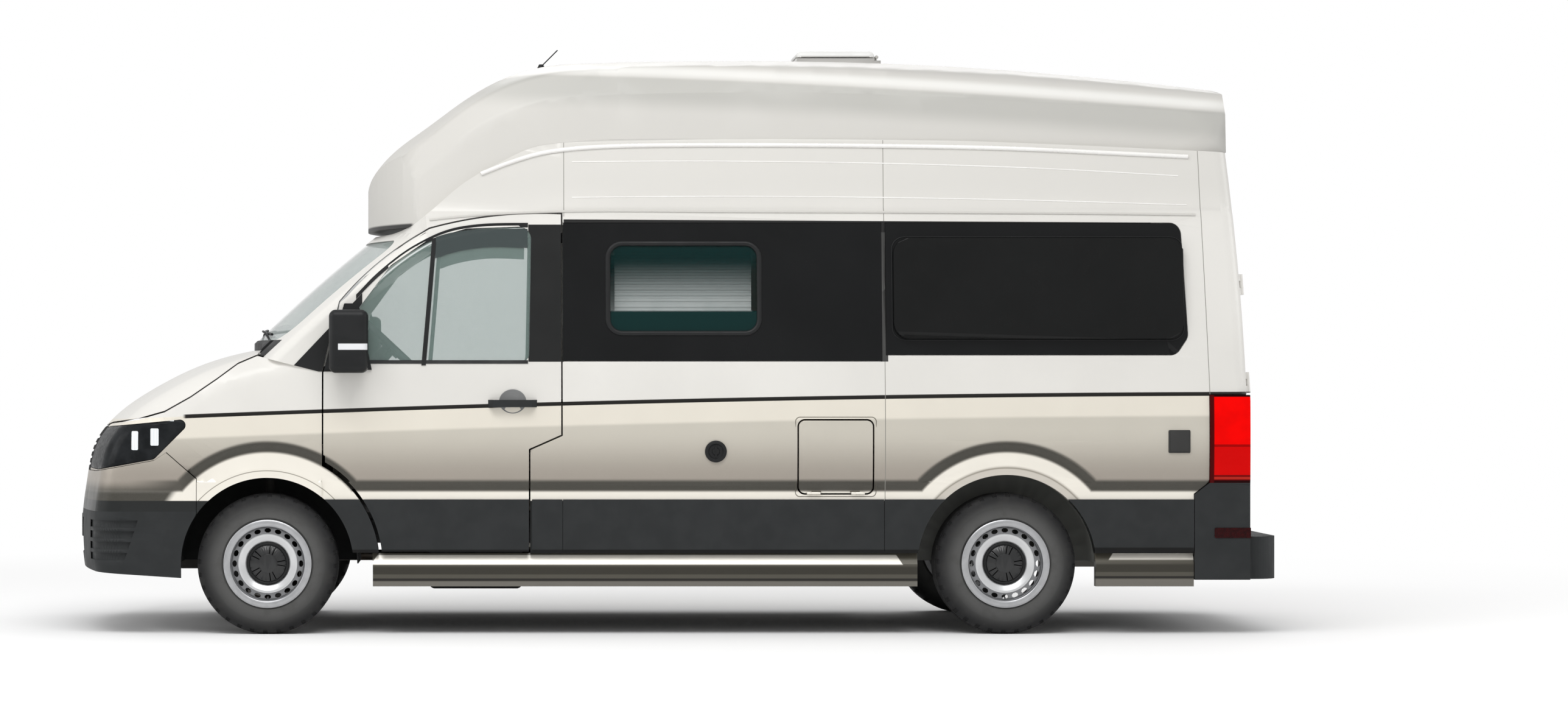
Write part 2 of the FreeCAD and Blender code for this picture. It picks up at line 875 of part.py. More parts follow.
def make_nose():
    lamps = lamp_region(panel_gap)
    lamps = lamps.fuse(mirrored(lamps))
    above = hood_region(0)
    cowl_edge = outside_cowl(shut_gap)
    hood = nose_sheet.common(hood_region(shut_gap)).cut(cowl_edge)
    lugs = []
    for y in (-hood_hinge_y, hood_hinge_y):
        place = hood_hinge_point(y)
        leaf, lug = pin_hinge(place, axis_y, hood_pin, hood_knuckle, Vector(-hood_leaf_run, 0, -hood_leaf_drop),
                              Vector(0, 0, firewall_z - place.z - hood_pin))
        hood = hood.fuse(leaf)
        shelf = box(place.x - hood_pin, firewall_x + skin, y - 2 * hood_knuckle, y + 2 * hood_knuckle, firewall_z - skin, firewall_z)
        lugs += [lug, shelf]
    keep("hood", hood)

    fender_top = [at_nose(u, v) for u, v in hood_seam_shares]
    pillar_edge = [fender_top[0], (door_front_x, fender_top[0][1])]
    side_only = box(front_x, door_front_x, -far_half, -fender_in_y, 0, roof_height)
    foot_line = through_prism([fender_top[-1], (door_front_x, pillar_foot_z), (door_front_x, roof_height),
                               (fender_top[-1][0], roof_height)])
    left = nose_sheet.common(side_only).cut(above).cut(bumper_region(panel_gap)).cut(lamps).cut(foot_line)
    left = left.cut(front_groove)
    strip = cabin_wall.common(left_side).common(cylinder_y(front_axle_x, axle_z, door_arch_radius - shut_gap, -far_half, 0))
    strip = strip.common(box(door_front_x, door_rear_x, -far_half, 0, sill_z + panel_gap, pillar_foot_z))
    left = fused([left, strip.cut(front_groove)]).cut(front_arch)
    keep("front_fenders", [left, mirrored(left)])

    bumper = nose_sheet.common(bumper_region()).cut(front_arch).cut(lamps)
    lip = through_prism([(front_x - overrun, 0), (front_x - overrun, lip_front_z), (front_axle_x, lip_rear_z), (front_axle_x, 0)])
    bumper = bumper.cut(lip)
    split = box(front_x - overrun, front_axle_x, -far_half, far_half, 0, bumper_split_z)
    upper = bumper.cut(split)
    lower = bumper.common(split)
    lower = lower.cut(Part.makeBox(far_half, 2 * intake_half, intake_high_z - intake_low_z,
                                   Vector(front_x - overrun, -intake_half, intake_low_z)))
    # Slotted corners beside the wheels
    face = nose_outer.cut(nose_solid(skin / 2))
    x0, x1 = [front_x + share * front_overhang for share in corner_intake_shares]
    pitch = (corner_high_z - corner_low_z) / corner_slots
    for i in range(corner_slots):
        z0 = corner_low_z + pitch * (i + 1 / 4)
        z1 = z0 + pitch * 2 / 3
        lean = (corner_high_z - z1) / 3
        slot = face.common(left_prism([(x0, z0), (x1 - lean - pitch / 4, z0), (x1 - lean, z1), (x0, z1)]))
        lower = lower.cut(slot).cut(mirrored(slot))
    keep("front_bumper", upper)
    keep("bumper_lower", lower)

    lamp = nose_outer.cut(nose_solid(wall)).common(lamp_region())
    flange = nose_solid(skin + seat_gap).cut(nose_solid(skin + shut_gap)).common(lamp_region(shut_step))
    lamp = fused([lamp, flange.cut(box(front_x, 0, -lamp_in_y, lamp_in_y, 0, roof_height))])
    keep("headlamps", [lamp, mirrored(lamp)])

    face = nose_sheet.cut(bumper_region(panel_gap)).cut(above).cut(lamps)
    face = face.common(box(front_x - overrun, hood_nose_x + hood_nose_setback, -lamp_in_y, lamp_in_y, 0, roof_height))
    slat_low = at_nose(0, bumper_seam_shares[0][1])[1]
    slat_high = at_nose(0, hood_seam_shares[0][1])[1]
    pitch = (slat_high - slat_low) / (slat_count + 1)
    for i in range(slat_count):
        z = slat_low + pitch * (i + 1) - pitch / 4
        face = face.cut(box(front_x - overrun, hood_nose_x + hood_nose_setback, -grille_half, grille_half, z, z + pitch / 2))
    keep("grille", face)
    return lugs


# Cabin: side panels, doors, glass

def make_cabin():
    screen_x0 = cowl_x - windscreen_top_back
    screen_x1 = windscreen_top_x + overrun * 4
    screen = front_prism(screen_low_half, screen_high_half, screen_low_z, screen_high_z, screen_corner, screen_x0, screen_x1)
    g = seat_gap
    pane = front_prism(screen_low_half - g, screen_high_half - g, screen_low_z + g, screen_high_z - g,
                       screen_corner - g, screen_x0, screen_x1)
    keep("windscreen", glass_layer.common(pane))

    fender_top = [at_nose(u, v) for u, v in hood_seam_shares]
    below_pillar = through_prism([(front_x, 0), (front_x, hood_rear_z - cowl_drop), (cowl_x, hood_rear_z - cowl_drop),
                                  fender_top[-1], (door_front_x, pillar_foot_z), (door_front_x, 0)])
    cowl_zone = box(front_x, windscreen_top_x, -screen_low_half, screen_low_half, hood_rear_z - cowl_drop, screen_low_z)
    cowl = cabin_wall.common(cowl_zone).cut(screen).cut(hood_region(0, shut_gap).cut(outside_cowl(0)))
    cowl = cowl.cut(made["front_fenders"])
    for y in (-hood_hinge_y, hood_hinge_y):
        place = hood_hinge_point(y)
        room = 2 * hood_knuckle
        cowl = cowl.cut(box(cowl_x, place.x + pin_wall + hood_pin + run_gap, y - room, y + room, 0, screen_low_z))
    keep("cowl", cowl)

    side = cabin_wall.common(left_side).cut(roof_cut).cut(door_hole).cut(screen).cut(cowl_zone).cut(below_pillar)
    side = side.cut(box(front_x, windscreen_top_x, -screen_low_half, 0, 0, screen_low_z))
    side = side.cut(front_arch).cut(rear_arch).cut(rear_groove)
    side = side.cut(cylinder_y(front_axle_x, axle_z, door_arch_radius, -far_half, 0).common(
        box(front_x, door_rear_x, -far_half, 0, 0, pillar_foot_z)))
    side = side.cut(box(front_x, rear_x + overrun, -far_half, far_half, 0, sill_z + seat_gap))
    side = side.cut(rear_prism(rear_door_wire()))
    side = side.cut(bumper_zone(panel_gap)).cut(lamp_zone(panel_gap))
    # Black panes let into the wall, with the two windows behind them
    panes = []
    window = rounded_left(window_x0, window_x1, window_low_z, window_high_z, window_corner)
    for points, radii in band_outlines():
        recess = left_prism(points, radii)
        face = wire_of(points, radii).makeOffset2D(-panel_gap)
        face = Part.Face(face)
        face.translate(Vector(0, left_start, 0))
        panes.append(flush_layer.common(face.extrude(left_depth)))
        side = side.cut(flush_layer.common(recess))
    pane_front = panes[0].cut(window)
    bulge_hole = rounded_left(bulge_x0, bulge_x1, bulge_low_z, bulge_high_z, bulge_corner)
    pane_rear = panes[1].cut(bulge_hole)
    right = mirrored(side)
    side = side.cut(window).cut(bulge_hole)
    hatch = rounded_left(hatch_x0, hatch_x1, hatch_low_z, hatch_high_z, hatch_corner)
    hatch_hole = rounded_left(hatch_x0, hatch_x1, hatch_low_z, hatch_high_z, hatch_corner, shut_gap)
    side = side.cut(hatch_hole)
    swing_door = skin_layer.common(hatch)
    for share in (0.2, 0.8):
        place = Vector(hatch_x0 + share * hatch_length, -(body_half - skirt_tuck) - hatch_pin_out, hatch_low_z)
        leaf, lug = pin_hinge(place, axis_x, hatch_pin, hatch_knuckle, Vector(0, hatch_pin_out + skin / 2, hatch_pin + pin_wall),
                              Vector(0, hatch_pin_out + skin / 2, -(shut_gap + hatch_pin + pin_wall)))
        swing_door = swing_door.fuse(leaf)
        side = side.fuse(lug)
    keep("side_panel_left", side)
    keep("service_hatch", swing_door)

    slide = rounded_left(door_rear_x + shut_gap, slide_rear_x, sill_z + panel_gap, gutter_z - overrun / 2, slide_corner)
    slide_small = rounded_left(door_rear_x + shut_gap, slide_rear_x, sill_z + panel_gap, gutter_z - overrun / 2, slide_corner, -panel_gap)
    slide_seat = rounded_left(door_rear_x + shut_gap, slide_rear_x, sill_z + panel_gap, gutter_z - overrun / 2, slide_corner, -seat_gap)
    right_small = mirrored(slide_small)
    full = mirrored(cabin_wall.common(left_side)).cut(roof_cut)
    sliding = full.common(right_small.common(mirrored(trim_outer.cut(cabin_skin)))).fuse(
        full.common(mirrored(slide_seat)).cut(mirrored(skin_layer)))
    right_window = mirrored(window)
    sliding = sliding.cut(right_window).cut(mirrored(left_prism(*band_outlines()[0])).common(mirrored(flush_layer)))
    keep("sliding_door", sliding)
    right = right.cut(mirrored(slide)).cut(mirrored(bulge_hole))
    keep("side_panel_right", right)
    slide_pane = pane_front.common(slide_small)
    rest_pane = pane_front.cut(rounded_left(door_rear_x + shut_gap, slide_rear_x, sill_z, gutter_z, slide_corner, 0))
    keep("side_panes", [pane_front, pane_rear, mirrored(slide_pane), mirrored(rest_pane), mirrored(pane_rear)])
    glazed = rounded_left(window_x0, window_x1, window_low_z, window_high_z, window_corner, -seat_gap)
    camper = glass_layer.common(glazed)
    keep("side_windows", [camper, mirrored(camper)])

    bulge = bulge_outer.common(rounded_left(bulge_x0, bulge_x1, bulge_low_z, bulge_high_z, bulge_corner, -seat_gap))
    outer_edges = []
    for edge in bulge.Edges:
        b = edge.BoundBox
        if b.YMax < -(body_half - gutter_tuck - wall / 2) and b.YMin < -(body_half - gutter_tuck + bulge_proud / 2):
            outer_edges.append(edge)
    bulge = bulge.cut(cabin_inner)
    inner = cabin_outer.common(rounded_left(bulge_x0, bulge_x1, bulge_low_z, bulge_high_z, bulge_corner, -skin))
    bulge = bulge.cut(inner)
    keep("window_bulges", [bulge, mirrored(bulge)])


def wire_of(points, radii):
    return rounded_wire([Vector(p[0], 0, p[1]) for p in points], radii)


def band_outlines():
    low = window_sill_z
    high = band_high_z
    r = band_corner
    front = [(door_rear_x, low), (mid_seam_x - shut_gap, low), (mid_seam_x - shut_gap, high), (door_rear_x, high)]
    rear = [(mid_seam_x + shut_gap, low + r / 2), (band_rear_x - r, low + r / 2), (band_rear_x, low + 2 * r),
            (band_rear_x - r / 2, high), (mid_seam_x + shut_gap, high)]
    return [(front, [0, 0, 0, 0]), (rear, [0, r, r, r, 0])]


def bumper_zone(grow=0):
    g = grow
    points = [(bumper_side_x - g, 0), (bumper_side_x - g, bumper_side_z + g), (rear_seam_x - g, bumper_top_z + g),
              (rear_x + overrun, bumper_top_z + g), (rear_x + overrun, 0)]
    return through_prism(points)


def lamp_zone(grow=0):
    g = grow
    zone = box(rear_seam_x - g, rear_x + overrun, -far_half, -(rear_door_half + shut_gap) + g, bumper_top_z - g, tail_high_z + g)
    return zone


def web_between(centre, along, width, reach, thickness):
    # Flat web from a barrel's middle out to its seat.
    reach = reach - along * reach.dot(along)
    across = reach.cross(along).normalize() * (thickness / 2)
    half = Vector(along) * (width / 2)
    corners = [centre - half - across, centre + half - across, centre + half + across, centre - half + across]
    return Part.Face(Part.makePolygon(corners + [corners[0]])).extrude(reach)


def pin_hinge(centre, along, pin, knuckle, leaf_reach, base_reach):
    # A hinge of three knuckles on one pin: the middle one belongs to what swings.
    barrel = pin + pin_wall
    half = Vector(along) * (knuckle / 2)
    middle = Part.makeCylinder(barrel, knuckle, centre - half, along)
    leaf = web_between(centre, along, knuckle, leaf_reach, pin)
    bore = Part.makeCylinder(pin + seat_gap, knuckle * 2, centre - half * 2, along)
    swing = middle.fuse(leaf).cut(bore)
    shapes = [Part.makeCylinder(pin, knuckle * 3, centre - half * 3, along)]
    for side in (-1, 1):
        spot = centre + half * 2 * side
        end = Vector(along) * (knuckle - 2 * seat_gap)
        shapes.append(Part.makeCylinder(barrel, knuckle - 2 * seat_gap, spot - end / 2, along))
        shapes.append(web_between(spot, along, knuckle - 2 * seat_gap, base_reach, pin))
    return swing, shapes[0].fuse(shapes[1:])


def hinge_neck(pin_x, pin_y, z):
    # Bent arm that reaches round the fender's edge, so the open door stands clear of it.
    turns = [Vector(pin_x + u * hinge_forward, pin_y + v * hinge_inboard, z) for u, v in neck_shares]
    middle = axis_z * (hinge_height / 2)
    webs = [web_between(a + middle, axis_z, hinge_height, b - a, hinge_leaf) for a, b in zip(turns, turns[1:])]
    elbows = [Part.makeCylinder(hinge_leaf / 2, hinge_height, turn) for turn in turns[1:-1]]
    return webs[0].fuse(webs[1:] + elbows)


def pull_handle(x, z):
    # Bar on two feet, standing off the left side.
    half = handle_length / 2
    low = -body_half + skin
    out = -body_half - handle_out
    inner = half - handle_out
    outline = [Vector(x - half, low, z), Vector(x - inner, out, z), Vector(x + inner, out, z), Vector(x + half, low, z)]
    bar = rounded_prism(outline, [0, handle_round, handle_round, 0], axis_z * handle_height)
    room = handle_length * handle_foot_share
    fingers = box(x - room, x + room, out + handle_bar, low, z - handle_height, z + 2 * handle_height)
    return bar.cut(fingers).cut(cabin_outer)


def make_cab_doors():
    outer = lip_layer.common(wire_prism(door_line, -shut_gap))
    outer = outer.fuse(skin_layer.common(wire_prism(door_line, -(shut_gap + lip_step))))
    inner = core_layer.common(wire_prism(door_line, -(shut_gap + shut_step)))
    hole = Part.Face(door_window_wire())
    hole.translate(Vector(0, left_start, 0))
    hole = hole.extrude(left_depth)
    door = fused([outer, inner]).cut(hole).cut(front_groove)
    pane = Part.Face(door_window_wire(seat_gap))
    pane.translate(Vector(0, left_start, 0))
    glass = glass_layer.common(pane.extrude(left_depth))
    pin_x = door_front_x - hinge_forward
    pin_y = -(body_half - hinge_inboard)
    pins = []
    for z in door_hinge_levels:
        barrel = Part.makeCylinder(hinge_barrel, hinge_height, Vector(pin_x, pin_y, z))
        arm = hinge_neck(pin_x, pin_y, z)
        bore = Part.makeCylinder(hinge_pin + seat_gap, 3 * hinge_height, Vector(pin_x, pin_y, z - hinge_height))
        door = door.fuse(barrel.fuse(arm).cut(bore))
        pin = Part.makeCylinder(hinge_pin, 3 * hinge_height, Vector(pin_x, pin_y, z - hinge_height))
        for base in (z - hinge_height, z + hinge_height + seat_gap):
            lug = Part.makeCylinder(hinge_barrel, hinge_height - seat_gap, Vector(pin_x, pin_y, base))
            web = box(pin_x - hinge_barrel, pin_x + hinge_barrel, pin_y, -post_out_y, base, base + hinge_height - seat_gap)
            pin = pin.fuse(lug).fuse(web)
        pins.append(pin)
    keep("door_left", door)
    keep("door_right", mirrored(door))
    keep("door_glass_left", glass)
    keep("door_glass_right", mirrored(glass))
    cover = trim_layer.common(wire_prism(door_line, -shut_gap)).common(
        box(front_x, rear_x, -far_half, 0, sill_z + shut_gap + panel_gap, cladding_z)).cut(front_groove)
    handle = pull_handle(front_axle_x + handle_back, handle_z - handle_height / 2)
    keep("door_trim_left", [cover, handle])
    keep("door_trim_right", [mirrored(cover), mirrored(handle)])
    return pins


def make_cladding():
    # Dark strips low on both sides, parted where the panels under them are.
    low = sill_z + shut_gap + panel_gap
    strip = trim_layer.common(box(front_axle_x, bumper_side_x - panel_gap, -far_half, 0, low, cladding_z))
    strip = strip.cut(wire_prism(door_line, shut_gap)).cut(front_arch).cut(rear_arch)
    left_seams = [door_rear_x, mid_seam_x]
    right_seams = [door_rear_x + shut_gap, slide_rear_x, mid_seam_x]
    sides = []
    for seams in (left_seams, right_seams):
        cuts = [box(x - panel_gap / 2, x + panel_gap / 2, -far_half, 0, 0, belt_z) for x in seams]
        sides.append(strip.cut(Part.makeCompound(cuts)))
    slide_handle = pull_handle(front_axle_x + slide_handle_back, handle_z - handle_height / 2)
    keep("cladding", [sides[0], mirrored(sides[1]), mirrored(slide_handle)])


def rear_door_edge(z):
    # Half width of the rear doors' edge at a level above the belt.
    share = (z - belt_z) / (gutter_z - belt_z)
    return rear_door_half - share * (gutter_tuck - belt_tuck)


def rear_hinge_points():
    # Both hinges lie on one line that leans with the rear face and the sides.
    points = []
    for z in (rear_hinge_low_z, rear_hinge_high_z):
        y = rear_door_edge(z)
        lean = rear_mid_lean * (z - belt_z) / (rear_mid_z - belt_z)
        turned_in = rear_turn - math.sqrt(rear_turn ** 2 - y ** 2)
        points.append(Vector(rear_face_x - lean - turned_in + rear_pin_out, -y + shut_gap / 2, z))
    return points


def make_rear_doors():
    outer = skin_layer.common(rear_prism(rear_door_wire(shut_gap / 2)))
    inner = core_layer.common(rear_prism(rear_door_wire(shut_gap / 2 + shut_step)))
    door = fused([outer, inner]).cut(rear_prism(rear_window_wire()))
    glass = glass_layer.common(rear_prism(rear_window_wire(seat_gap)))
    low, high = rear_hinge_points()
    along = (high - low).normalize()
    for place in (low, high):
        leaf, lug = pin_hinge(place, along, rear_pin, rear_knuckle, Vector(-rear_pin_out - skin / 2, 2 * rear_pin_out, 0),
                              Vector(-rear_pin_out - skin / 2, -2 * rear_pin_out, 0))
        door = door.fuse(leaf)
        for name, piece in (("side_panel_left", lug), ("side_panel_right", mirrored(lug))):
            made[name] = made[name].fuse(piece)
    keep("rear_door_left", door)
    keep("rear_door_right", mirrored(door))
    keep("rear_glass_left", glass)
    keep("rear_glass_right", mirrored(glass))


def make_rear_end():
    shell = trim_outer.cut(cabin_inner).common(bumper_zone())
    shell = shell.cut(rear_prism(rear_door_wire())).cut(mirrored(rear_prism(rear_door_wire())))
    shell = shell.cut(box(front_x, rear_x, -far_half, far_half, 0, bumper_low_z)).cut(rear_arch)
    points = [Vector(bumper_side_x + step_inset, -step_half, bumper_low_z), Vector(rear_x, -step_half, bumper_low_z),
              Vector(rear_x, step_half, bumper_low_z), Vector(bumper_side_x + step_inset, step_half, bumper_low_z)]
    step = rounded_prism(points, [0, step_corner, step_corner, 0], Vector(0, 0, step_high_z - bumper_low_z))
    hollow = box(front_x, rear_face_x - wall, -(step_half - wall), step_half - wall, 0, roof_height)
    keep("rear_bumper", fused([shell, step.cut(hollow)]))
    lamp = trim_outer.cut(cabin_inner).common(lamp_zone())
    keep("tail_lamps", [lamp, mirrored(lamp)])


# Roof shell: a moulding lofted along the body over the steel sides.

def roof_section(x, top, crease, half, inset):
    base = roof_base_z + inset
    foot_half = half + roof_foot_out - inset
    crease_half = half - inset
    shoulder_half = half - roof_shoulder_in - inset
    top_z = top - inset
    crease_z = crease - inset / 2
    shoulder_z = crease_z + roof_shoulder_share * (top_z - crease_z)
    def at(y, z):
        return Vector(x, y, z)
    edges = [
        Part.makeLine(at(-foot_half, base), at(foot_half, base)),
        Part.makeLine(at(foot_half, base), at(crease_half, crease_z)),
        Part.makeLine(at(crease_half, crease_z), at(shoulder_half, shoulder_z)),
        Part.Arc(at(shoulder_half, shoulder_z), at(0, top_z), at(-shoulder_half, shoulder_z)).toShape(),
        Part.makeLine(at(-shoulder_half, shoulder_z), at(-crease_half, crease_z)),
        Part.makeLine(at(-crease_half, crease_z), at(-foot_half, base)),
    ]
    return Part.Wire(edges)


def roof_body(inset):
    # Two lofts that meet where the nose has turned into the long roof.
    run = roof_rear_x - roof_front_x
    rise = roof_height - roof_base_z
    lofts = []
    for shares in (roof_nose_shares, roof_long_shares):
        wires = []
        for u, top_v, crease_v, half_v in shares:
            x = roof_front_x + u * run
            if u == 0:
                x += inset
            if u == 1:
                x -= inset
            wires.append(roof_section(x, roof_base_z + top_v * rise, roof_base_z + crease_v * rise,
                                      roof_half * half_v, inset))
        lofts.append(Part.makeLoft(wires, True, False))
    solid = lofts[0].fuse(lofts[1])
    radius = roof_plan_radius - inset
    mask = Part.makeCylinder(radius, roof_height, Vector(roof_front_x + roof_plan_radius, 0, 0))
    mask = mask.fuse(box(roof_front_x + roof_plan_radius, rear_x, -far_half, far_half, 0, 2 * roof_height))
    return solid.common(mask)


def make_roof():
    outer = roof_body(0)
    inner = roof_body(roof_wall)
    below = box(front_x, rear_x + overrun, -far_half, far_half, 0, 2 * roof_height).cut(above_steel(-seat_gap))
    nose_floor = box(roof_front_x, windscreen_top_x + nose_floor_run, -far_half, far_half, 0, 2 * roof_height)
    shell = outer.cut(inner)
    shell = shell.cut(below)
    keep("roof_shell", shell)
    frame_top = roof_height + hatch_rise
    frame = box(skylight_x0, skylight_x1, -skylight_half, skylight_half, roof_height - roof_wall - hatch_sink, frame_top)
    hole = box(skylight_x0 + wall, skylight_x1 - wall, -skylight_half + wall, skylight_half - wall,
               roof_height - roof_base_z / 4, 2 * roof_height)
    lid_low = frame_top + run_gap
    lid_top = roof_height + lid_rise
    lid = box(skylight_x0, skylight_x1, -skylight_half, skylight_half, lid_low, lid_top)
    rim_edges = [e for e in lid.Edges if e.BoundBox.ZMax > lid_top - seat_gap]
    lid = lid.makeFillet((lid_top - lid_low) * 0.8, rim_edges)
    lugs = []
    for y in (-skylight_half / 2, skylight_half / 2):
        lid_side, base_side = pin_hinge(Vector(skylight_x1 + lid_pin_back, y, lid_low + lid_pin), axis_y, lid_pin, lid_knuckle,
                                        Vector(-lid_pin_back - lid_pin, 0, 0), Vector(0, 0, frame_top - hatch_rise - lid_low - lid_pin))
        lid = lid.fuse(lid_side)
        lugs.append(base_side)
    pad = box(skylight_x1 - wall, skylight_x1 + 2 * lid_pin_back, -skylight_half, skylight_half,
              roof_height - roof_wall - hatch_sink, roof_height)
    shell = made["roof_shell"].fuse([frame, pad]).cut(hole)
    keep("roof_shell", fused([shell] + lugs))
    keep("roof_hatch", lid)


# Wheels, steering and axles

def tyre(x, y):
    half = tyre_width / 2
    rim_r = rim_radius + seat_gap
    profile = [(rim_r, -half * 0.72), (rim_r + bead_rise, -half * 0.92), (tyre_radius * 0.86, -half), (tyre_radius - shoulder_drop, -half * 0.86),
               (tyre_radius, -half * 0.6), (tyre_radius, half * 0.6), (tyre_radius - shoulder_drop, half * 0.86), (tyre_radius * 0.86, half),
               (rim_r + bead_rise, half * 0.92), (rim_r, half * 0.72)]
    points = [Vector(x, y + w, axle_z + r) for r, w in profile]
    face = Part.Face(Part.makePolygon(points + [points[0]]))
    return face.revolve(Vector(x, y, axle_z), axis_y, 360)


def vent_hole(centre, radius, turn):
    # Eight-sided hole, a little longer round the wheel than across it.
    out = Vector(math.sin(turn), 0, math.cos(turn))
    along = Vector(math.cos(turn), 0, -math.sin(turn))
    spot = centre + out * radius
    corners = []
    for i in range(8):
        angle = math.pi * (2 * i + 1) / 8
        corners.append(spot + along * vent_length * math.cos(angle) + out * vent_radius * math.sin(angle))
    return polygon_prism(corners, Vector(0, 2 * tyre_width, 0))


def rim(x, y, side):
    # Steel wheel: barrel, dished disc with two rings of holes, hub with brake disc.
    s = side
    h = tyre_width / 2
    profile = [(rim_radius, -h * 0.86), (rim_radius + flange_rise, -h * 0.9), (rim_radius + flange_rise, -h * 0.95),
               (rim_radius - rim_wall, -h * 0.95), (rim_radius - rim_wall, h * 0.95), (rim_radius + flange_rise, h * 0.95),
               (rim_radius + flange_rise, h * 0.9), (rim_radius, h * 0.86)]
    points = [Vector(x, y + w, axle_z + r) for r, w in profile]
    barrel = Part.Face(Part.makePolygon(points + [points[0]])).revolve(Vector(x, y, axle_z), axis_y, 360)
    disc_profile = [(rim_radius - rim_wall, disc_face), (ring_out, disc_face + disc_dish), (ring_in, disc_face + disc_dish),
                    (cap_radius + disc_step, disc_face), (cap_radius, disc_face - disc_dish), (hub_bore, disc_face - disc_dish),
                    (hub_bore, disc_face - disc_dish - disc_thick), (cap_radius, disc_face - disc_dish - disc_thick),
                    (cap_radius + disc_step, disc_face - disc_thick), (ring_in, disc_face + disc_dish - disc_thick),
                    (ring_out, disc_face + disc_dish - disc_thick), (rim_radius - rim_wall, disc_face - disc_thick)]
    points = [Vector(x, y + s * w, axle_z + r) for r, w in disc_profile]
    disc = Part.Face(Part.makePolygon(points + [points[0]])).revolve(Vector(x, y, axle_z), axis_y, 360)
    middle = (ring_out + ring_in) / 2
    holes = []
    for i in range(vent_count):
        turn = 2 * math.pi * i / vent_count
        holes.append(vent_hole(Vector(x, y - tyre_width, axle_z), middle, turn))
    disc = disc.cut(Part.makeCompound(holes))
    cap0 = y + s * (disc_face - disc_dish)
    cap = cylinder_y(x, axle_z, cap_radius - disc_step, min(cap0, cap0 + s * cap_rise), max(cap0, cap0 + s * cap_rise))
    boss = cylinder_y(x, axle_z, boss_radius, min(cap0, cap0 + s * (cap_rise + disc_thick)), max(cap0, cap0 + s * (cap_rise + disc_thick)))
    hub0 = y + s * (disc_face - disc_dish - disc_thick)
    hub1 = y - s * hub_back
    hub = cylinder_y(x, axle_z, hub_radius, min(hub0, hub1), max(hub0, hub1))
    brake = cylinder_y(x, axle_z, brake_radius, min(hub1, hub1 + s * brake_thick), max(hub1, hub1 + s * brake_thick))
    bore = cylinder_y(x, axle_z, spindle_radius + seat_gap, min(hub1, hub0) - overrun, max(hub1, hub0))
    if s > 0:
        bore = cylinder_y(x, axle_z, spindle_radius + seat_gap, hub1 - overrun, hub0)
    else:
        bore = cylinder_y(x, axle_z, spindle_radius + seat_gap, hub0, hub1 + overrun)
    return barrel.fuse([disc, cap, boss, hub.fuse(brake).cut(bore)])


def make_wheels():
    places = {"front_left": (front_axle_x, -front_track / 2, -1), "front_right": (front_axle_x, front_track / 2, 1),
              "rear_left": (rear_axle_x, -rear_track / 2, -1), "rear_right": (rear_axle_x, rear_track / 2, 1)}
    for name, (x, y, s) in places.items():
        keep("tyre_" + name, tyre(x, y))
        keep("rim_" + name, rim(x, y, s))


def king_y(z):
    # The steering axis leans inward from the lower ball joint up to the strut's top.
    return king_foot_y - (z - arm_z) * math.tan(math.radians(king_lean))


def king_cylinder(radius, z0, z1):
    # Cylinder on the right-hand steering axis between two levels.
    foot = Vector(front_axle_x, king_y(z0), z0)
    reach = Vector(front_axle_x, king_y(z1), z1) - foot
    return Part.makeCylinder(radius, reach.Length, foot, reach)


def make_knuckles():
    # The strut's ends are square to its own axis, so they turn flat between the arm and the tower.
    tilt = strut_radius * math.sin(math.radians(king_lean))
    y = front_track / 2
    hub0 = y + disc_face - disc_dish - disc_thick - seat_gap
    back = y - hub_back - seat_gap
    spindle = cylinder_y(front_axle_x, axle_z, spindle_radius, king_y(axle_z), hub0)
    carrier = cylinder_y(front_axle_x, axle_z, carrier_radius, king_y(axle_z) - strut_radius, back)
    strut = king_cylinder(strut_radius, arm_z + seat_gap + tilt, strut_top_z - tilt)
    right = fused([spindle, carrier, strut])
    keep("knuckle_right", right)
    keep("knuckle_left", mirrored(right))


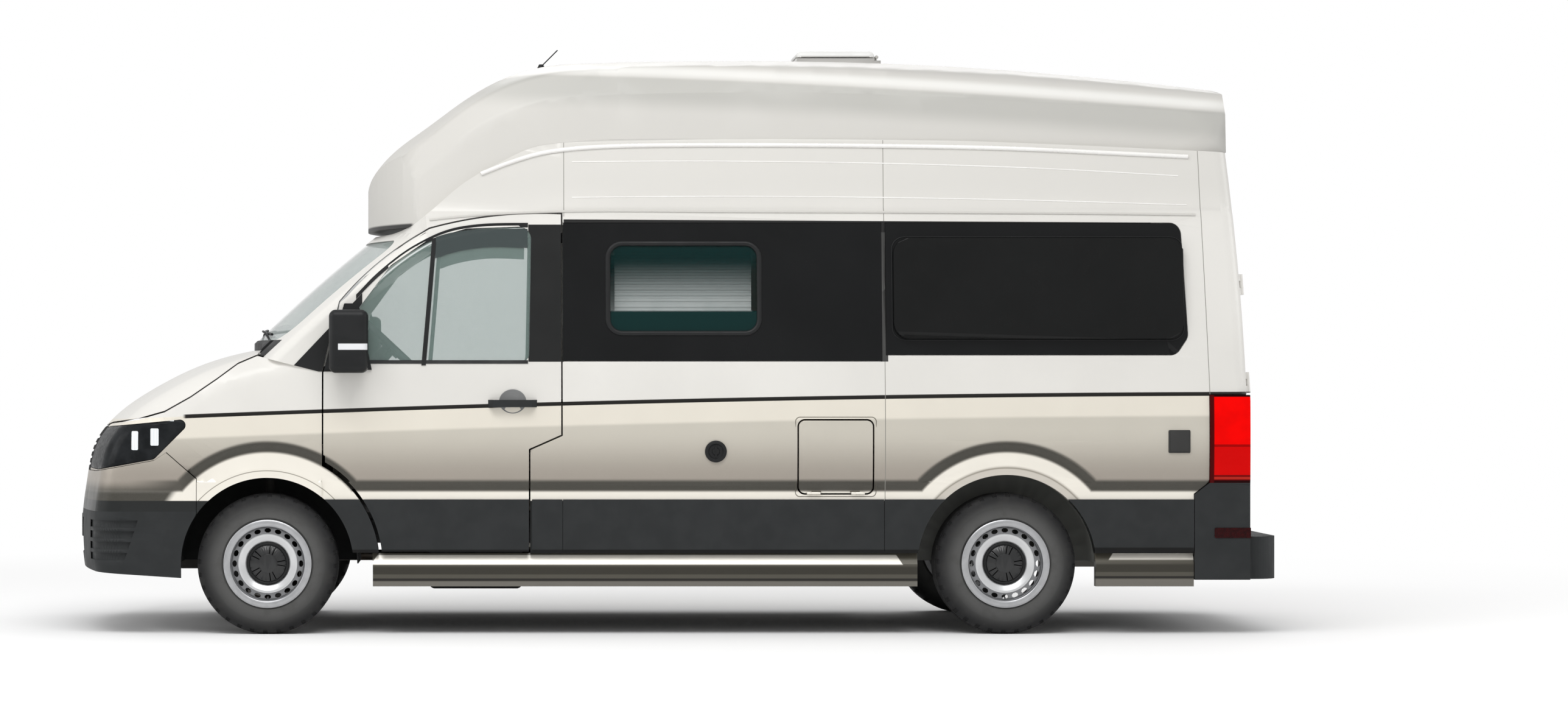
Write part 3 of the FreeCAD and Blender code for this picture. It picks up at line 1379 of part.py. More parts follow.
def make_underbody():
    inner_half = body_half - skirt_tuck - wall
    floor_x0 = firewall_x
    floor = box(floor_x0, rear_face_x - 2 * wall, -inner_half, inner_half, floor_z - floor_thickness, floor_z)
    housing = []
    for x, radius, inboard in ((front_axle_x, front_arch_radius, front_house_in), (rear_axle_x, rear_arch_radius, rear_house_in)):
        out_y = body_half - skirt_tuck - wall - seat_gap
        drum = cylinder_y(x, axle_z, radius + liner_gap + liner_wall, inboard - liner_wall, out_y)
        hollow = cylinder_y(x, axle_z, radius + liner_gap, inboard, out_y + overrun)
        low = box(x - body_half, x + body_half, 0, far_half, -body_half, axle_z)
        arch = drum.cut(hollow).cut(low)
        if x == front_axle_x:
            arch = arch.cut(king_cylinder(strut_radius + strut_room, axle_z, strut_top_z))
        arch = arch.cut(cylinder_y(x, axle_z, strut_radius + strut_room + overrun / 2, 0, inboard + overrun))
        housing.append((arch, cylinder_y(x, axle_z, radius + liner_gap + liner_wall + seat_gap, inboard - liner_wall - seat_gap, far_half)))
    for arch, space in housing:
        floor = floor.cut(space).cut(mirrored(space))
    shapes = [floor]
    for s in (-1, 1):
        y = s * rail_y
        rail = box(front_x + rail_front, rear_x - rail_rear, y - rail_width / 2, y + rail_width / 2,
                   floor_z - floor_thickness - rail_height, floor_z - floor_thickness)
        shapes.append(rail)
    for share in cross_shares:
        x = front_axle_x + share * wheelbase
        shapes.append(box(x - rail_width / 2, x + rail_width / 2, -inner_half + overrun, inner_half - overrun,
                          floor_z - floor_thickness - rail_height / 2, floor_z - floor_thickness))
    firewall = box(firewall_x, firewall_x + skin, -inner_half + overrun, inner_half - overrun, floor_z - floor_thickness, firewall_z)
    shapes.append(firewall)
    base = fused(shapes)
    for arch, space in housing:
        base = base.cut(space).cut(mirrored(space))
    keep("underbody", base)
    liners = [a for a, s in housing] + [mirrored(a) for a, s in housing]
    keep("wheel_liners", liners)
    profile = [(sill_in, skirt_z), (sill_out, skirt_z), (sill_out + panel_gap, sill_low_z), (sill_in + skin, sill_z), (sill_in, sill_z)]
    sills = []
    for x0, x1 in ((front_axle_x, rear_axle_x), (rear_axle_x + rear_arch_radius, bumper_side_x - panel_gap)):
        points = [Vector(x0, -y, z) for y, z in profile]
        bar = polygon_prism(points, Vector(x1 - x0, 0, 0))
        for ax, r in ((front_axle_x, door_arch_radius - overrun), (rear_axle_x, rear_arch_radius + 0)):
            bar = bar.cut(cylinder_y(ax, axle_z, r, -far_half, 0)).cut(box(ax - r, ax + r, -far_half, 0, 0, axle_z))
        sills += [bar, mirrored(bar)]
    keep("sills", sills)


def write_parts():
    os.makedirs("parts", exist_ok=True)
    for name, shape in made.items():
        shape.exportStep("parts/" + name + ".step")


def make_mirrors():
    # Housing on two arms that stand on a black triangular foot in the door's front corner.
    x0 = door_front_x + mirror_back
    housing = box(x0, x0 + mirror_depth, -mirror_out, -mirror_in, mirror_low_z, mirror_high_z)
    housing = housing.makeFillet(mirror_round, housing.Edges)
    housing = housing.cut(box(x0 + mirror_depth - mirror_lip, x0 + mirror_depth + overrun, -mirror_out + mirror_lip * 2,
                              -mirror_in - mirror_lip * 2, mirror_low_z + mirror_lip * 2, mirror_high_z - mirror_lip * 2))
    glass = box(x0 + mirror_depth - mirror_lip + seat_gap, x0 + mirror_depth - mirror_lip / 2, -mirror_out + mirror_lip * 2 + seat_gap,
                -mirror_in - mirror_lip * 2 - seat_gap, mirror_low_z + mirror_lip * 2 + seat_gap, mirror_high_z - mirror_lip * 2 - seat_gap)
    foot_x0 = door_front_x + shut_gap + panel_gap
    foot_points = [(foot_x0, pillar_foot_z + sail_low), (foot_x0 + sail_length, pillar_foot_z + sail_low),
                   (foot_x0 + sail_length * 0.72, pillar_foot_z + sail_height), (foot_x0 + sail_length * 0.42, pillar_foot_z + sail_height)]
    foot = trim_layer.common(left_prism(foot_points))
    arm = box(x0 + mirror_depth / 4, x0 + mirror_depth * 3 / 4, -mirror_in - mirror_lip, -(body_half - window_tuck), mirror_low_z + mirror_lip * 2,
              mirror_low_z + mirror_lip * 2 + arm_height)
    arm = arm.cut(cabin_outer)
    body = fused([housing, foot, arm])
    keep("mirror_left", [body, glass])
    keep("mirror_right", [mirrored(body), mirrored(glass)])


def make_dash():
    # Dashboard with its binnacle, steering column and the wheel itself.
    run = dash_rear_x - dash_front_x
    rise = dash_top_z - floor_z
    points = [Vector(dash_front_x + u * run, -dash_half, floor_z + v * rise) for u, v in dash_shares]
    dash = polygon_prism(points, Vector(0, 2 * dash_half, 0)).cut(box(
        dash_front_x + run / 3, dash_rear_x + overrun, -dash_half + wall, -console_half, floor_z, floor_z + rise / 2)).cut(box(
            dash_front_x + run / 3, dash_rear_x + overrun, console_half, dash_half - wall, floor_z, floor_z + rise / 2))
    room = cylinder_y(front_axle_x, axle_z, front_arch_radius + liner_gap + liner_wall + panel_gap, -far_half, far_half)
    dash = dash.cut(room.cut(box(front_x, 0, -front_house_in + overrun, front_house_in - overrun, 0, roof_height)))
    centre = Vector(wheel_x, -seat_y, wheel_z)
    lean = math.radians(wheel_lean)
    along = Vector(math.sin(lean), 0, math.cos(lean))
    column = Part.makeCylinder(column_radius, column_length, centre - along * (column_length + hub_thick + seat_gap), along)
    keep("dashboard", fused([dash, column]))
    # Eight-sided section, turned about the wheel's own axis
    across = axis_y
    section = []
    for i in range(8):
        angle = math.pi * (2 * i + 1) / 8
        section.append(centre + across * (wheel_ring + wheel_grip * math.cos(angle)) + along * wheel_grip * math.sin(angle))
    ring = Part.Face(Part.makePolygon(section + [section[0]])).revolve(centre, along, 360)
    hub = Part.makeCylinder(hub_round, hub_thick, centre - along * hub_thick, along)
    spokes = []
    for share in spoke_shares:
        turn = 2 * math.pi * share
        side = Vector(along.z, 0, -along.x) * math.cos(turn) + axis_y * math.sin(turn)
        spoke = Part.makeCylinder(spoke_radius, wheel_ring, centre - along * hub_thick / 2, side)
        spokes.append(spoke)
    keep("steering_wheel", fused([ring, hub] + spokes))


def make_seats():
    bases = []
    soft = []
    for s in (-1, 1):
        y = s * seat_y
        bases.append(box(seat_x, seat_x + seat_base, y - seat_base / 2, y + seat_base / 2, floor_z, seat_base_z))
        cushion = box(seat_x - cushion_front, seat_x - cushion_front + cushion_length, y - seat_half, y + seat_half,
                      seat_base_z + seat_gap, seat_base_z + cushion_thick)
        back_foot = Vector(seat_x - cushion_front + cushion_length + seat_gap, y - seat_half, seat_base_z + seat_gap)
        lean = Vector(back_lean, 0, back_height)
        thick = Vector(back_thick, 0, 0)
        back = polygon_prism([back_foot, back_foot + thick, back_foot + thick + lean, back_foot + lean], Vector(0, 2 * seat_half, 0))
        head_foot = back_foot + lean + thick / 4 + Vector(0, seat_half - head_half, head_rise)
        head = box(head_foot.x, head_foot.x + back_thick * 0.6, y - head_half, y + head_half, head_foot.z, head_foot.z + head_height)
        posts = []
        for side in (-1, 1):
            posts.append(Part.makeCylinder(post_radius, head_rise - 2 * seat_gap,
                                           Vector(head_foot.x + back_thick * 0.3, y + side * head_half / 2, head_foot.z - head_rise + seat_gap)))
        soft += [cushion.makeFillet(soft_round, cushion.Edges), back.makeFillet(soft_round, back.Edges),
                 head.makeFillet(soft_round * 0.8, head.Edges)]
        bases += posts
    keep("seat_bases", bases)
    keep("cab_seats", soft)


def make_furniture():
    # Bench and tall washroom on the driver's side, kitchen opposite, bed across the back.
    side = living_half
    bench = box(bench_x, bench_x + bench_length, -side, -side + bench_width, floor_z, bench_z)
    kitchen = box(kitchen_x, bed_x - panel_gap, side - kitchen_depth, side, floor_z, kitchen_z)
    washroom = box(wash_x, bed_x - panel_gap, -side, -side + wash_depth, floor_z, wash_z)
    bed_box = box(bed_x, rear_face_x - 2 * wall - shut_step, -side, side, floor_z, bed_z)
    liner = cylinder_y(rear_axle_x, axle_z, rear_arch_radius + liner_gap + liner_wall + seat_gap, -far_half, far_half)
    cassette = box(hatch_x0 - shut_gap, hatch_x1 + shut_gap, -body_half, -side + kitchen_depth / 2, 0, hatch_high_z + shut_gap)
    keep("furniture", [bench, kitchen, washroom.cut(cassette), bed_box.cut(liner).cut(
        box(bed_x + wall, rear_x, -side + wall, side - wall, floor_z, bed_z - wall))])
    seat = box(bench_x, bench_x + bench_length, -side, -side + bench_width, bench_z + seat_gap, bench_z + cushion_thick)
    bed = box(bed_x, rear_face_x - 2 * wall - shut_step, -side, side, bed_z + seat_gap, bed_z + cushion_thick)
    keep("living_cushions", [seat.makeFillet(soft_round, seat.Edges), bed.makeFillet(soft_round, bed.Edges)])


def make_running_gear():
    rail_top = floor_z - floor_thickness
    rail_low = rail_top - rail_height
    engine = box(engine_x0, engine_x1, -engine_half, engine_half, engine_low_z, engine_top_z)
    mount = box(engine_x1 - rail_width, engine_x1 - rail_width / 2, -rail_y + rail_width / 2, rail_y - rail_width / 2, rail_low, rail_top)
    radiator = box(radiator_x, radiator_x + wall, -rail_y + rail_width / 2, rail_y - rail_width / 2, rail_low, radiator_z)
    core = fused([engine, mount])
    for s in (-1, 1):
        inner = engine_half
        outer = king_y(axle_z) - carrier_radius
        shaft = cylinder_y(front_axle_x, axle_z, shaft_radius, min(s * inner, s * outer), max(s * inner, s * outer))
        drop = box(engine_x1 - wall, front_axle_x + wall / 2, min(s * inner, s * (inner - wall)), max(s * inner, s * (inner - wall)),
                   axle_z - wall / 2, engine_low_z + wall)
        core = core.fuse([shaft, drop])
    keep("engine_block", [core, radiator])
    beam = box(front_axle_x - beam_half, front_axle_x + beam_half, -rail_y + rail_width / 2, rail_y - rail_width / 2, arm_z - beam_depth, arm_z)
    shapes = [beam]
    tower_y = king_y(strut_top_z)
    for s in (-1, 1):
        y0 = s * (rail_y - rail_width / 2)
        y1 = s * (king_y(arm_z) + strut_radius)
        arm = polygon_prism([Vector(front_axle_x - beam_half, y0, arm_z - liner_gap), Vector(front_axle_x + beam_half, y0, arm_z - liner_gap),
                             Vector(front_axle_x + strut_radius, y1, arm_z - liner_gap), Vector(front_axle_x - strut_radius, y1, arm_z - liner_gap)],
                            Vector(0, 0, liner_gap))
        legs = []
        for end in (-1, 1):
            leg_x = front_axle_x + end * (beam_half - leg_half)
            legs.append(box(leg_x - leg_half, leg_x + leg_half, min(y0, y0 - s * overrun), max(y0, y0 - s * overrun),
                            arm_z - beam_depth, rail_low))
        tower = box(front_axle_x - wall, front_axle_x + wall, min(y0, s * (rail_y + shut_gap)), max(y0, s * (rail_y + shut_gap)),
                    rail_top, strut_top_z + seat_gap + skin)
        cap = box(front_axle_x - wall, front_axle_x + wall, min(s * rail_y, s * (tower_y + 2 * strut_radius)),
                  max(s * rail_y, s * (tower_y + 2 * strut_radius)), strut_top_z + seat_gap, strut_top_z + seat_gap + skin)
        shapes += [arm, tower, cap] + legs
    keep("front_subframe", fused(shapes))
    shapes = []
    back = rear_track / 2 - hub_back - seat_gap
    shapes.append(cylinder_y(rear_axle_x, axle_z, axle_radius, -back, back))
    tip = rear_track / 2 + disc_face - disc_dish - disc_thick - seat_gap
    shapes.append(cylinder_y(rear_axle_x, axle_z, spindle_radius, -tip, tip))
    for s in (-1, 1):
        y0, y1 = s * rail_y - spring_width / 2, s * rail_y + spring_width / 2
        spring_low = axle_z + axle_radius - panel_gap
        shapes.append(box(rear_axle_x - spring_half, rear_axle_x + spring_half, y0, y1, spring_low, spring_low + spring_thick))
        for end in (-1, 1):
            x = rear_axle_x + end * (spring_half - spring_thick)
            shapes.append(box(x - spring_thick, x + spring_thick, y0, y1, spring_low, rail_low))
    keep("rear_axle", fused(shapes))
    tank = box(tank_x, tank_x + tank_length, -rail_y - tank_side, tank_right, tank_low_z, rail_low)
    tank = tank.makeFillet(tank_round, [e for e in tank.Edges if e.BoundBox.ZMax < rail_low - seat_gap])
    keep("fuel_tank", tank)
    pipe_y = muffler_y
    muffler = Part.makeCylinder(muffler_radius, muffler_length, Vector(muffler_x, pipe_y, muffler_z), axis_x)
    pipe_x = front_axle_x + beam_half + overrun
    front_pipe = Part.makeCylinder(pipe_radius, muffler_x - pipe_x, Vector(pipe_x, pipe_y, muffler_z), axis_x)
    hangers = []
    for share in (0.25, 0.75):
        x = muffler_x + share * muffler_length
        hangers.append(box(x - spring_thick / 2, x + spring_thick / 2, pipe_y - pipe_radius, pipe_y + pipe_radius, muffler_z + muffler_radius - skin, rail_top))
    keep("exhaust", fused([muffler, front_pipe] + hangers))


def make_small_parts(door_pins, hood_lugs):
    # Hinge posts of the cab doors and the hood's lugs stand on the firewall.
    posts = []
    inner = body_half - skirt_tuck - wall - overrun
    for s in (-1, 1):
        for pin in door_pins:
            piece = pin if s < 0 else mirrored(pin)
            posts.append(piece)
        post = box(firewall_x, door_front_x - hinge_forward + hinge_barrel, min(s * post_out_y, s * (post_out_y - wall)),
                   max(s * post_out_y, s * (post_out_y - wall)), post_low_z, pillar_foot_z)
        posts.append(post)
    made["underbody"] = made["underbody"].fuse(posts + hood_lugs).removeSplitter()
    crown = made["roof_shell"].common(box(antenna_x - antenna_base, antenna_x + antenna_base, -antenna_base, antenna_base,
                                          roof_base_z, 2 * roof_height))
    rod_foot = Vector(antenna_x, 0, crown.BoundBox.ZMax - antenna_sink)
    base = Part.makeCone(antenna_base, antenna_base / 2, antenna_base, rod_foot)
    rod = Part.makeCylinder(antenna_radius, antenna_length, rod_foot + Vector(0, 0, antenna_base / 2), Vector(1, 0, 1))
    keep("antenna", fused([base, rod]).cut(made["roof_shell"]))


hood_lugs = make_nose()
make_cabin()
door_pins = make_cab_doors()
make_cladding()
make_rear_doors()
make_rear_end()
make_roof()
make_wheels()
make_knuckles()
make_underbody()
make_mirrors()
make_dash()
make_seats()
make_furniture()
make_running_gear()
make_small_parts(door_pins, hood_lugs)
write_parts()
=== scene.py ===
import json
import math
import bpy
import bmesh
from mathutils import Matrix, Vector
from mathutils.bvhtree import BVHTree


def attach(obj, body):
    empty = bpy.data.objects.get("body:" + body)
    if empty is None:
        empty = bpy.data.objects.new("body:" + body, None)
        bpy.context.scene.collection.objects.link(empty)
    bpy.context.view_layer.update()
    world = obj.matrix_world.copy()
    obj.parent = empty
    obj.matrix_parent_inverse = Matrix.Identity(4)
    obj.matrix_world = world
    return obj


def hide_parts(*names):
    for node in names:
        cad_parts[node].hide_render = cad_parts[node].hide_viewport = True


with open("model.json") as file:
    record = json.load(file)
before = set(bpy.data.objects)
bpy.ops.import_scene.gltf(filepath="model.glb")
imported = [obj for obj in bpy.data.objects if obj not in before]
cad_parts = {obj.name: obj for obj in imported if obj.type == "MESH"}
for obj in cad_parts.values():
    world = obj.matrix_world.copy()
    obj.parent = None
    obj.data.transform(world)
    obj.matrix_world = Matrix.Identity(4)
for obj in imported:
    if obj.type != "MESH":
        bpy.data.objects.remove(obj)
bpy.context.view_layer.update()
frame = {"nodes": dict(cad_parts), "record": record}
scene = bpy.context.scene
nodes = frame["nodes"]
record = frame["record"]
bodyOf = {node: body for body, members in record["behaviour"]["bodies"].items() for node in members}
sides = (("left", False), ("right", True))   # the right side mirrors the left
wheelCentres = ((-2.002, 0.347), (1.638, 0.347))   # x and z of the axles
print("camper: frame loaded,", len(nodes), "nodes")


# Colours and shader nodes

def paint(red, green, blue):
    # a colour as it is seen, turned into the shader's linear values
    shares = [value / 255 for value in (red, green, blue)]
    return tuple(s / 12.92 if s <= 0.04045 else ((s + 0.055) / 1.055) ** 2.4 for s in shares) + (1.0,)


class Nodes:
    # puts shader nodes into the tree of a material or a world
    def __init__(self, owner):
        owner.use_nodes = True
        self.tree = owner.node_tree
        self.tree.nodes.clear()

    def fill(self, node, **sockets):
        # links or sets inputs, called by name with _ for a space, or by number as in at0
        for key, value in sockets.items():
            socket = node.inputs[int(key[2:]) if key.startswith("at") else key.replace("_", " ")]
            if isinstance(value, bpy.types.NodeSocket):
                self.tree.links.new(value, socket)
            else:
                socket.default_value = value
        return node

    def add(self, kind, settings=None, **sockets):
        node = self.tree.nodes.new(kind)
        for key, value in (settings or {}).items():
            setattr(node, key, value)
        return self.fill(node, **sockets)

    def calc(self, operation, first, second=0.0, third=0.0):
        return self.add("ShaderNodeMath", {"operation": operation}, at0=first, at1=second,
                at2=third).outputs[0]

    def times(self, first, *more):
        for value in more:
            first = self.calc("MULTIPLY", first, value)
        return first

    def minus(self, first, second):
        return self.calc("SUBTRACT", first, second)

    def linear(self, value, slope, start):
        return self.calc("MULTIPLY_ADD", value, slope, start)

    def ramp(self, value, low, high, toLow=0.0, toHigh=1.0):
        return self.add("ShaderNodeMapRange", {"interpolation_type": "SMOOTHSTEP"}, Value=value,
                From_Min=low, From_Max=high, To_Min=toLow, To_Max=toHigh).outputs[0]

    def under(self, value, edge, soft):
        # 1 below an edge and 0 above it
        return self.ramp(value, edge + soft, edge - soft)

    def between(self, value, low, high, soft=0.0015):
        return self.times(self.ramp(value, low - soft, low + soft), self.under(value, high, soft))

    def blend(self, share, first, second):
        return self.add("ShaderNodeMix", {"data_type": "RGBA"}, at0=share, at6=first, at7=second).outputs[2]


class Finish(Nodes):
    # a material in the making: its shader, the axes of each point and the colour laid so far
    def __init__(self, name):
        self.material = bpy.data.materials.new(name)
        super().__init__(self.material)
        output = self.add("ShaderNodeOutputMaterial")
        self.shader = self.add("ShaderNodeBsdfPrincipled")
        self.tree.links.new(self.shader.outputs[0], output.inputs[0])
        self.place = self.add("ShaderNodeTexCoord").outputs["Object"]
        self.axes = dict(zip("xyz", self.add("ShaderNodeSeparateXYZ", Vector=self.place).outputs))
        self.x, self.z = self.axes["x"], self.axes["z"]
        self.normal = None

    def noise(self, scale, detail, roughness=0.5, place=None):
        return self.add("ShaderNodeTexNoise", Vector=self.place if place is None else place, Scale=scale,
                Detail=detail, Roughness=roughness).outputs[0]

    def wave(self, way, scale, distortion=0.0):
        return self.add("ShaderNodeTexWave", {"bands_direction": way}, Vector=self.place, Scale=scale,
                Distortion=distortion).outputs["Fac"]

    def reach(self, axle):
        # distance from an axle, seen from the side
        dx, dz = self.minus(self.x, axle[0]), self.minus(self.z, axle[1])
        return self.calc("SQRT", self.linear(dx, dx, self.times(dz, dz)))

    def nearReach(self):
        return self.calc("MINIMUM", *[self.reach(axle) for axle in wheelCentres])

    def above(self, rise, slope, bend):
        # height over a line that bends along the car
        return self.minus(self.z, self.linear(self.linear(self.x, bend, slope), self.x, rise))

    def base(self, share, first, second):
        self.color = self.blend(share, paint(*first), paint(*second))

    def mottled(self, first, second, scale, detail, low=0.35, high=0.65, most=1.0):
        self.base(self.ramp(self.noise(scale, detail), low, high, 0.0, most), first, second)

    def lay(self, share, shade):
        self.color = self.blend(share, self.color, paint(*shade))

    def bands(self, value, rows):
        # lays a colour between two limits of a measure, each row (low, high, softness, color)
        for low, high, soft, shade in rows:
            self.lay(self.between(value, low, high, soft), shade)

    def bump(self, height, distance, strength=1.0, invert=False):
        # roughens the surface, on top of any bump before it
        before = {"Normal": self.normal} if self.normal else {}
        self.normal = self.add("ShaderNodeBump", {"invert": invert}, Height=height, Distance=distance,
                Strength=strength, **before).outputs[0]
        self.fill(self.shader, Normal=self.normal)

    def done(self, **sockets):
        self.fill(self.shader, Base_Color=self.color, **sockets)
        return self.material

    def coated(self, rough, coat, specular=0.5, groove=None, **sockets):
        # smooth lacquer or moulding with an uneven gloss, and a groove where one is given
        gloss = self.ramp(self.noise(7.0, 3.0), 0.3, 0.7, *rough)
        self.bump(self.noise(260.0, 2.0), 0.00006, 0.25)
        if groove is not None:
            self.bump(groove, 0.002, invert=True)
        return self.done(Roughness=gloss, Coat_Weight=coat, Coat_Roughness=0.06,
                Specular_IOR_Level=specular, **sockets)


# Two-tone paint of the steel body: white over metallic beige, parted by a dark line (part painted
# shade in a groove) that rises and falls with the car's length. Painted shade deepens the beige down
# to a pressed line over both arches, painted shade lies in it and a painted highlight below it.
bodyPaint = {
    # the tall white is painted shade high up the side
    "white": (221, 219, 214), "whiteLow": (216, 214, 209), "whiteTall": (210, 208, 203),
    "tallFrom": (2.0, 2.25),
    # the deeper beige is painted shade low down, the high beige a painted highlight under the belt
    "beige": (200, 195, 183), "beigeDeep": (153, 145, 135), "beigeHigh": (230, 224, 211),
    "flake": (250, 246, 238),
    # the lower band is a painted highlight below the pressed line
    "shade": (1.02, 0.765), "highFrom": (-0.118, -0.098), "lowerBand": (240, 235, 224), "metal": 0.3,
    # the belt line is partly the parting line of the two tones and partly painted shade in its groove
    "beltLine": (24, 22, 19), "beltCurve": (1.14909, 0.022828, -0.0036266), "beltHalf": 0.0095,
    # the pressed line is painted shade in the crease
    "beltStart": -2.42, "pressedLine": (46, 44, 36), "pressedHeight": 0.765, "pressedRadius": 0.609,
    "pressedCore": (0.017, 0.050),
    "pressedSoft": (-0.006, 0.068), "noseHeight": (0.765, 0.690), "noseEnd": (-2.36, -2.40),
    # painted shade round the arch lips by the distance from an axle (dark edge lines, a dimmer ring, deep
    # shade inside the rear lip); by height the dark foot behind the cladding and, as painted shade, the
    # gap over the sill, each (low, high, softness, color)
    "frontBands": ((0.4575, 0.4615, 0.0015, (150, 144, 132)),),
    "rearBands": ((-1, 0.482, 0.006, (206, 200, 190)), (0.470, 0.476, 0.004, (150, 144, 132)),
                  (-1, 0.4345, 0.004, (74, 74, 70))),
    # second row: the gap over the sill painted near black as its shade
    "footBands": ((-1, 0.6585, 0.001, (34, 36, 36)), (-1, 0.4125, 0.001, (12, 12, 11))),
    # upright panel joints, each (x, lean with height above leanFrom, z from, z to)
    "joint": (132, 130, 124), "jointHalf": 0.0016, "leanFrom": 1.179,
    "joints": ((1.040, 0.0, 0.43, 2.44), (-0.5405, 0.0, 2.06, 2.44), (2.638, -0.034, 1.179, 2.44)),
    # flat parts of the side, each (x from, x to, z from, z to, fall along x, color): the strip
    # between the panes, the door's black post and the black edge over the panes
    "patches": ((1.020, 1.056, 1.343, 2.030, 0.0, (62, 62, 61)),
                (-0.7165, -0.5415, 1.342, 2.020, 0.0, (22, 23, 23)),
                (-0.5415, 2.36, 1.99, 2.046, 0.0055, (24, 24, 24))),
}


def twoTonePaint(fin, look):
    x, z = fin.x, fin.z
    over = fin.above(*look["beltCurve"])
    fin.mottled(look["white"], look["whiteLow"], 1.6, 2.0, 0.3, 0.7)
    # painted shade: the white darker high up the side
    fin.lay(fin.ramp(z, *look["tallFrom"]), look["whiteTall"])
    white = fin.color
    # painted shade: the beige darkens downward from under the belt to the pressed line
    fin.base(fin.ramp(z, *look["shade"]), look["beige"], look["beigeDeep"])
    # painted highlight: the beige brighter just under the belt, where the side leans up
    fin.lay(fin.ramp(over, *look["highFrom"]), look["beigeHigh"])
    # distance above the pressed line, which climbs over each arch
    front, rear = [fin.reach(axle) for axle in wheelCentres]
    radius, start, half = look["pressedRadius"], look["beltStart"], look["beltHalf"]
    joint = look["jointHalf"]
    clear = fin.minus(z, look["pressedHeight"])
    for reach in (front, rear):
        clear = fin.calc("MINIMUM", clear, fin.minus(reach, radius))
    top, low = look["pressedCore"]
    softTop, softLow = look["pressedSoft"]
    # painted highlight: the bright band below the pressed line and round the arches
    fin.lay(fin.ramp(clear, -low, -softLow), look["lowerBand"])
    # painted shade in the pressed crease over both arches
    behindNose = fin.ramp(x, start - 0.30, start + 0.06)
    pressed = fin.times(fin.ramp(clear, -softTop, -top), fin.ramp(clear, -softLow, -low), behindNose)
    fin.lay(pressed, look["pressedLine"])
    # the same painted shade carried forward on the nose over the front arch
    overArch = fin.ramp(front, radius - 0.05, radius - 0.01)
    noseShadeShare = fin.times(fin.ramp(x, *look["noseEnd"]), fin.ramp(z, *look["noseHeight"]), overArch)
    fin.lay(noseShadeShare, look["pressedLine"])
    fin.lay(fin.ramp(fin.noise(1400.0, 2.0, 0.7), 0.35, 0.7, 0.0, 0.10), look["flake"])
    fin.color = fin.blend(fin.ramp(over, -0.001, 0.001), fin.color, white)
    # dark belt line: partly the parting line of the two tones, partly painted shade in its pressed groove
    onBelt = fin.times(fin.between(over, -half, half), fin.ramp(x, start, start + 0.02))
    fin.lay(onBelt, look["beltLine"])
    # painted shade at the arch lips, then the foot behind the cladding and the gap's painted shade
    for measure, rows in ((front, "frontBands"), (rear, "rearBands"), (z, "footBands")):
        fin.bands(measure, look[rows])
    for low, lean, zFrom, zTo in look["joints"]:
        off = fin.minus(fin.linear(fin.minus(z, look["leanFrom"]), -lean, x), low)
        fin.lay(fin.times(fin.between(off, -joint, joint, 0.001), fin.between(z, zFrom, zTo)),
                look["joint"])
    for x0, x1, z0, z1, fall, shade in look["patches"]:
        level = fin.linear(fin.minus(x, x0), fall, z)
        fin.lay(fin.times(fin.between(x, x0, x1), fin.between(level, z0, z1)), shade)
    metal = fin.times(fin.ramp(over, 0.001, -0.001), look["metal"])
    return fin.coated((0.28, 0.36), 0.12, 0.28, onBelt, Metallic=metal)


# Sills and the skirts behind the rear wheels: a painted highlight strip with slanted ends along the
# upward-facing top, on a darker face
sillLook = {
    "mid": (84, 81, 72), "deep": (46, 43, 34), "deepFrom": 0.338, "skirtFrom": 1.7, "skirtRise": 0.012,
    # rows: a dark line of painted shade in the groove and a painted highlight on the bottom lip
    "bands": ((-1, 0.296, 0.003, (76, 73, 64)), (0.264, 0.276, 0.0015, (24, 21, 16)),
              (-1, 0.261, 0.005, (108, 105, 98))),
    # painted highlight along the upward-facing top of the sill and skirt
    "strip": (238, 234, 224),
    # each (z from, z to, x from, x to, lean of the start, lean of the end)
    "strips": ((0.344, 0.390, -1.495, 1.127, 0.8, -0.64), (0.368, 0.432, 2.143, 2.80, 0.75, 0.0)),
}


def sillFinish(fin, look):
    x, z = fin.x, fin.z
    level = fin.minus(z, fin.ramp(x, look["skirtFrom"], look["skirtFrom"] + 0.01, 0.0, look["skirtRise"]))
    fin.base(fin.under(level, look["deepFrom"], 0.012), look["mid"], look["deep"])
    # painted shade in the groove and a painted highlight on the bottom lip
    fin.bands(level, look["bands"])
    # painted highlight strips along the upward-facing top
    for low, high, start, end, startLean, endLean in look["strips"]:
        rise = fin.minus(z, low)
        fromStart = fin.minus(x, fin.linear(rise, startLean, start))
        toEnd = fin.minus(fin.linear(rise, endLean, end), x)
        ends = [fin.ramp(distance, -0.003, 0.003) for distance in (fromStart, toEnd)]
        fin.lay(fin.times(*ends, fin.between(z, low, high, 0.004)), look["strip"])
    return fin.coated((0.28, 0.36), 0.2, 0.35, Metallic=0.2)


# Roof shell: one white, with painted shade on the top, under the shoulder and under the nose's lip, and a
# painted highlight along the shoulder
roofLook = {"color": (200, 198, 193), "under": (181, 180, 175), "bright": (222, 221, 217),
        "top": (190, 188, 184),
        "shoulder": (2.785, -0.040, -0.008), "half": 0.022, "fade": (-1.35, -0.65), "lip": (46, 46, 45),
        "lipHeight": 2.03, "lipBack": -1.29}


